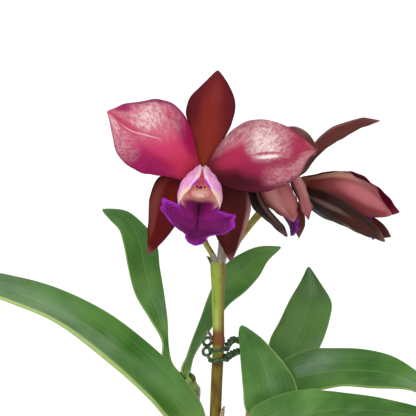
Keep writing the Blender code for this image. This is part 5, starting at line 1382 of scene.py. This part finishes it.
LIPS = {
    "open": {
        "floor": [
            (0, -0.6, -3.6), (0, -4.5, -7.5), (0, -9.5, -13.5), (0, -14, -20), (0, -17, -25.5),
            (0, -18, -30.5),
        ],
        "curl": [
            (0, 165), (0.13, 176), (0.33, 174), (0.4, 170), (0.46, 162), (0.52, 148), (0.57, 122), (0.61, 92),
            (0.64, 68), (0.67, 44), (0.74, 20), (0.82, 5), (1, -10),
        ],
        "half": [
            (0, 9.2), (0.09, 14.5), (0.17, 19), (0.25, 22), (0.33, 25.5), (0.42, 26), (0.5, 24.5), (0.56, 19.5),
            (0.6, 14), (0.63, 10.6), (0.66, 13), (0.7, 16), (0.75, 16.2), (0.8, 13), (0.84, 8), (0.865, 4.8),
            (0.92, 4.4), (0.97, 2.8), (1, 0.6),
        ],
        "sweep": [(0, 0), (0.6, 0), (0.66, 4.5), (0.71, 8.5), (0.77, 6), (0.83, 1.6), (0.88, 0), (1, 0)],
    },
    "nodding": {
        "floor": [
            (0, -1.0, -3.3), (0, -7, -5.5), (0, -14, -6.5), (0, -20, -7), (0, -25, -8), (0, -28, -10),
        ],
        "curl": [(0, 120), (0.15, 168), (0.3, 150), (0.5, 130), (0.65, 110), (0.8, 90), (1, 60)],
        "half": [(0, 6), (0.15, 9), (0.3, 9.5), (0.5, 8.5), (0.65, 5.6), (0.8, 5.6), (0.92, 4), (1, 1.2)],
        "sweep": [(0, 0), (1, 0)],
    },
    "side": {
        "floor": [
            (0, -1.0, -3.3), (0, -9, -6), (0, -18, -7.5), (0, -27, -8.5), (0, -35, -10.5),
            (0, -40, -13),
        ],
        "curl": [(0, 120), (0.15, 168), (0.3, 150), (0.5, 130), (0.62, 105), (0.75, 75), (0.88, 45), (1, 20)],
        "half": [(0, 4.8), (0.15, 9.2), (0.3, 10.6), (0.5, 10.5), (0.62, 8), (0.78, 10.5), (0.9, 9), (1, 1.2)],
        "sweep": [(0, 0), (1, 0)],
    },
}

lip_out = Finish("lip_outside", tint(234, 164, 210), 0.45, specular_ior_level=0.25, subsurface_weight=0.15, subsurface_scale=0.0015)
across, along = lip_out.across_along()
off = lip_out.math("ABSOLUTE", lip_out.math("SUBTRACT", across, 0.5))
vein = lip_out.noise(lip_out.stretched(across, along, 60.0, 5.0), 1.0, 3.0)
pink = lip_out.mix(lip_out.smooth(vein, 0.35, 0.7), tint(226, 146, 200), tint(240, 180, 218))
pink = lip_out.mix(lip_out.smooth(off, 0.26, 0.40, 0.7, 0.0), pink, tint(196, 96, 170))
pink = lip_out.mix(lip_out.smooth(off, 0.462, 0.480, 0.0, 0.85), pink, tint(246, 218, 226))
line = lip_out.math("MULTIPLY", lip_out.smooth(off, 0.482, 0.490), lip_out.smooth(along, 0.33, 0.42))
pink = lip_out.mix(line, pink, tint(160, 64, 206))
cream = lip_out.math("MULTIPLY", lip_out.smooth(along, 0.47, 0.53), lip_out.smooth(off, 0.36, 0.44))
pink = lip_out.mix(lip_out.math("MULTIPLY", cream, 0.9), pink, tint(238, 208, 178))
pink = lip_out.mix(lip_out.smooth(along, 0.57, 0.60), pink, tint(122, 30, 140))
lip_out.paint(pink)
lip_out.relief(vein, 0.0003, 0.4)


def velvet(name, deep, bright, rim):
    made = Finish(name, deep, 0.62, specular_ior_level=0.12, sheen_weight=0.06, sheen_roughness=0.4, emission_strength=0.12)
    across, along = made.across_along()
    off = made.math("ABSOLUTE", made.math("SUBTRACT", across, 0.5))
    bend = made.math("ADD", made.math("MULTIPLY", made.math("POWER", off, 1.3), 170.0), made.math("MULTIPLY", along, 280.0))
    shake = made.math("MULTIPLY", made.noise(made.in_space(), 420.0, 4.0, 0.6), 7.0)
    feather = made.add("Math", {0: made.math("ADD", bend, shake)}, operation="SINE")
    purple = made.mix(made.smooth(feather, -0.6, 0.9), deep, bright)
    # A brighter purple band where the throat opens into the middle lobe, painted light against the shade inside the
    # tube.
    purple = made.mix(made.math("MULTIPLY", made.smooth(along, 0.62, 0.70, 0.6, 0.0), made.smooth(off, 0.02, 0.12)), purple, tint(168, 22, 140))
    purple = made.mix(made.math("MULTIPLY", made.smooth(along, 0.74, 0.84, 0.0, 0.55), made.smooth(off, 0.42, 0.26)), purple, tint(72, 2, 52))
    edge = made.smooth(made.math("ADD", off, made.math("MULTIPLY", made.noise(made.in_space(), 240.0), 0.08)), 0.45, 0.53)
    edge = made.math("MULTIPLY", edge, made.smooth(along, 0.56, 0.62))
    tip = made.smooth(along, 0.9, 1.0, 0.0, 0.6)
    purple = made.mix(made.math("MAXIMUM", edge, tip), purple, rim)
    middle_line = made.math("MULTIPLY", made.smooth(off, 0.006, 0.024, 0.85, 0.0), made.smooth(along, 0.97, 0.88))
    purple = made.mix(middle_line, purple, tint(44, 0, 36))
    walls = made.math("ADD", made.smooth(off, 0.05, 0.26), made.smooth(along, 0.47, 0.30))
    walls = made.math("MULTIPLY", made.smooth(walls, 0.2, 0.9), made.smooth(made.math("ADD", along, made.math("MULTIPLY", shake, 0.004)), 0.560, 0.525))
    speck = made.smooth(made.noise(made.in_space(), 900.0, 3.0), 0.58, 0.7, 0.0, 0.5)
    peach = made.mix(speck, made.mix(made.smooth(off, 0.25, 0.45), tint(244, 184, 168), tint(255, 236, 214)), tint(190, 84, 116))
    made.paint(made.mix(walls, purple, peach))
    # The peach throat walls glow faintly in their own colour: painted light, for light passing through the thin lip.
    made.tree.links.new(made.mix(walls, (0.0, 0.0, 0.0, 1.0), tint(210, 160, 150)), made.shader.inputs["Emission Color"])
    made.relief(feather, 0.00030, 0.5)
    return made


lip_in = velvet("lip_velvet", tint(86, 8, 66), tint(142, 30, 124), tint(166, 36, 182))
young_lip = velvet("young_lip", tint(72, 12, 84), tint(108, 30, 128), tint(130, 44, 164))
for bloom_name, lip in LIPS.items():
    centre, forward, dorsal, rightward = bloom_frame(bloom_name)
    rows, cols = (150, 97) if bloom_name == "open" else (80, 49)
    floor_line, tangents = curve_through([np.array(p) / 1000 for p in lip["floor"]], rows, start=(0, -0.9, -0.45))
    sheet = np.zeros((rows, cols, 3))
    x = np.linspace(-1, 1, cols)
    for i, s in enumerate(np.linspace(0, 1, rows)):
        normal = np.array([0.0, tangents[i][2], -tangents[i][1]])
        curl = math.radians(float(between(lip["curl"], s)))
        drop = float(between([(0, 0), (0.62, 0), (0.70, 4.6), (0.78, 4.2), (0.85, 1.2), (1, 0)], s)) / 1000 if bloom_name == "open" else 0.0
        frill = max(0.0, min(1.0, (s - 0.62) * 8))
        half = float(between(lip["half"], s)) / 1000 * (1 + 0.03 * frill * math.sin(58 * s) + 0.018 * frill * math.sin(131 * s + 1))
        if s > 0.985:
            half *= math.sqrt(max(0.05, 1 - ((s - 0.985) / 0.015) ** 2))
        sideways, upwards = section(half, abs(curl), 1.0, cols)
        local = floor_line[i] + sideways[:, None] * np.array([1.0, 0, 0]) + (upwards * math.copysign(1, curl))[:, None] * normal
        sweep = float(between(lip["sweep"], s)) / 1000
        local = local - (sweep * x**2 - drop * np.clip(x, 0, 1) ** 2)[:, None] * tangents[i]
        ruffle = 0.00085 * frill * np.sin(2 * np.pi * (8 * s + 1.2 * np.abs(x)) + 1.6 * np.sign(x)) * np.abs(x) ** 2.5
        ruffle += 0.00035 * frill * np.sin(2 * np.pi * (19 * s) + 2 * np.sign(x)) * np.abs(x) ** 4 - 0.00035 * np.exp(-((x / 0.03) ** 2))
        local = local + ruffle[:, None] * normal
        sheet[i] = centre + local[:, :1] * rightward - local[:, 1:2] * forward + local[:, 2:] * dorsal
    thick = np.full((rows, cols), 0.0007)
    thick *= (1 - 0.45 * np.abs(x) ** 4)[None, :]
    outside, inside = (lip_out, lip_in) if bloom_name == "open" else (young_lip, young_lip)
    blade(bloom_name + "_lip_blade", sheet, thick, outside, inside, bloom_name + "_lip")

# Columns
# The waxy finger inside each lip, rose above and flushed orange at its sides, with a dark notch near its end
# and a cream cap over the pollen.

# The wax glows faintly in its own rose colour: painted light, to brighten it in the shade of the lip.
rose = Finish("column_wax", tint(226, 110, 136), 0.4, specular_ior_level=0.3, subsurface_weight=0.15, subsurface_scale=0.0015,
    emission_color=tint(200, 80, 150), emission_strength=0.12)
across, along = rose.across_along()
flush = rose.noise(rose.in_space(), 420.0, 3.0)
wax = rose.mix(rose.smooth(flush, 0.35, 0.65), tint(216, 92, 128), tint(232, 128, 144))
wax = rose.mix(rose.smooth(along, 0.3, 0.0, 0.0, 0.8), wax, tint(236, 178, 196))
wax = rose.mix(rose.smooth(along, 0.62, 0.86, 0.0, 0.85), wax, tint(240, 204, 176))
speckle = rose.smooth(rose.math("ADD", rose.noise(rose.in_space(), 1100.0, 3.0), rose.math("MULTIPLY", along, 0.2)), 0.74, 0.82, 0.0, 0.7)
rose.paint(rose.mix(rose.math("MULTIPLY", speckle, rose.smooth(along, 0.5, 0.8)), wax, tint(146, 30, 84)))
# The cap glows faintly too: painted light.
cap = Finish("pollen_cap", tint(250, 228, 206), 0.4, subsurface_weight=0.2, subsurface_scale=0.0015,
    emission_color=tint(240, 210, 190), emission_strength=0.08)
edge_of_cap = cap.across_along()[1]
cap.paint(cap.mix(cap.smooth(edge_of_cap, 0.75, 1.0, 0.0, 0.8), tint(246, 228, 206), tint(222, 178, 150)))
notch = Finish("dark_notch", tint(112, 4, 62), 0.45, coat_weight=0.2)
COLUMNS = {"open": (38, 0.0165, 0.95), "nodding": (19, 0.0115, 0.55), "side": (18, 0.0145, 0.55)}


def blob(middle, ways, sizes, finish):
    """A rod call for a rounded lump at middle, with its three half sizes along its own ways."""
    def make(first):
        rows, cols = 20, 24
        points = []
        for i in range(rows):
            rise = math.pi * (i + 0.02) / (rows - 0.96)
            for j in range(cols):
                turn = 2 * math.pi * j / cols
                ball = np.array([math.sin(rise) * math.cos(turn), math.sin(rise) * math.sin(turn), -math.cos(rise)])
                points.append(middle + (ball * sizes) @ np.array(ways))
        faces, places = patch(rows, cols, around=True, first=first)
        return points, (faces, places, finish)
    return make


for bloom_name, (droop, length, girth) in COLUMNS.items():
    centre, forward, dorsal, rightward = bloom_frame(bloom_name)
    foot = centre + forward * 0.0012
    axis = forward * math.cos(math.radians(droop)) - dorsal * math.sin(math.radians(droop))
    above = dorsal * math.cos(math.radians(droop)) + forward * math.sin(math.radians(droop))
    centres, tangents = curve_through([foot, foot + axis * length * 0.35, foot + axis * length * 0.7, foot + axis * length * 0.985], 50)
    tangents[0] = forward
    swelling = [(0, 0.0017), (0.15, 0.0018), (0.8, 0.0026), (0.95, 0.0023), (1, 0.0014)]
    radii = [girth * float(between(swelling, s)) for s in np.linspace(0, 1, 50)]
    widen = [1 + 0.9 * s**2 for s in np.linspace(0, 1, 50)]
    ways = (rightward, above, axis)
    end = foot + axis * length
    parts = [lambda first: rod(centres, tangents, radii, 36, rose, first, widen=widen)]
    parts.append(blob(end - axis * 0.0030 * girth + above * 0.0019 * girth, ways, np.array([0.0013, 0.0009, 0.0016]) * girth, notch))
    parts += [blob(end - axis * 0.0036 * girth + above * 0.0020 * girth + rightward * k * 0.0016 * girth, ways, np.array([0.0006, 0.0008, 0.0009]) * girth, notch) for k in (-1, 1)]
    parts.append(blob(end - axis * 0.0014 * girth, ways, np.array([0.0027, 0.0015, 0.0015]) * girth, cap))
    together(bloom_name + "_column_body", parts, [bloom_name + "_column"])
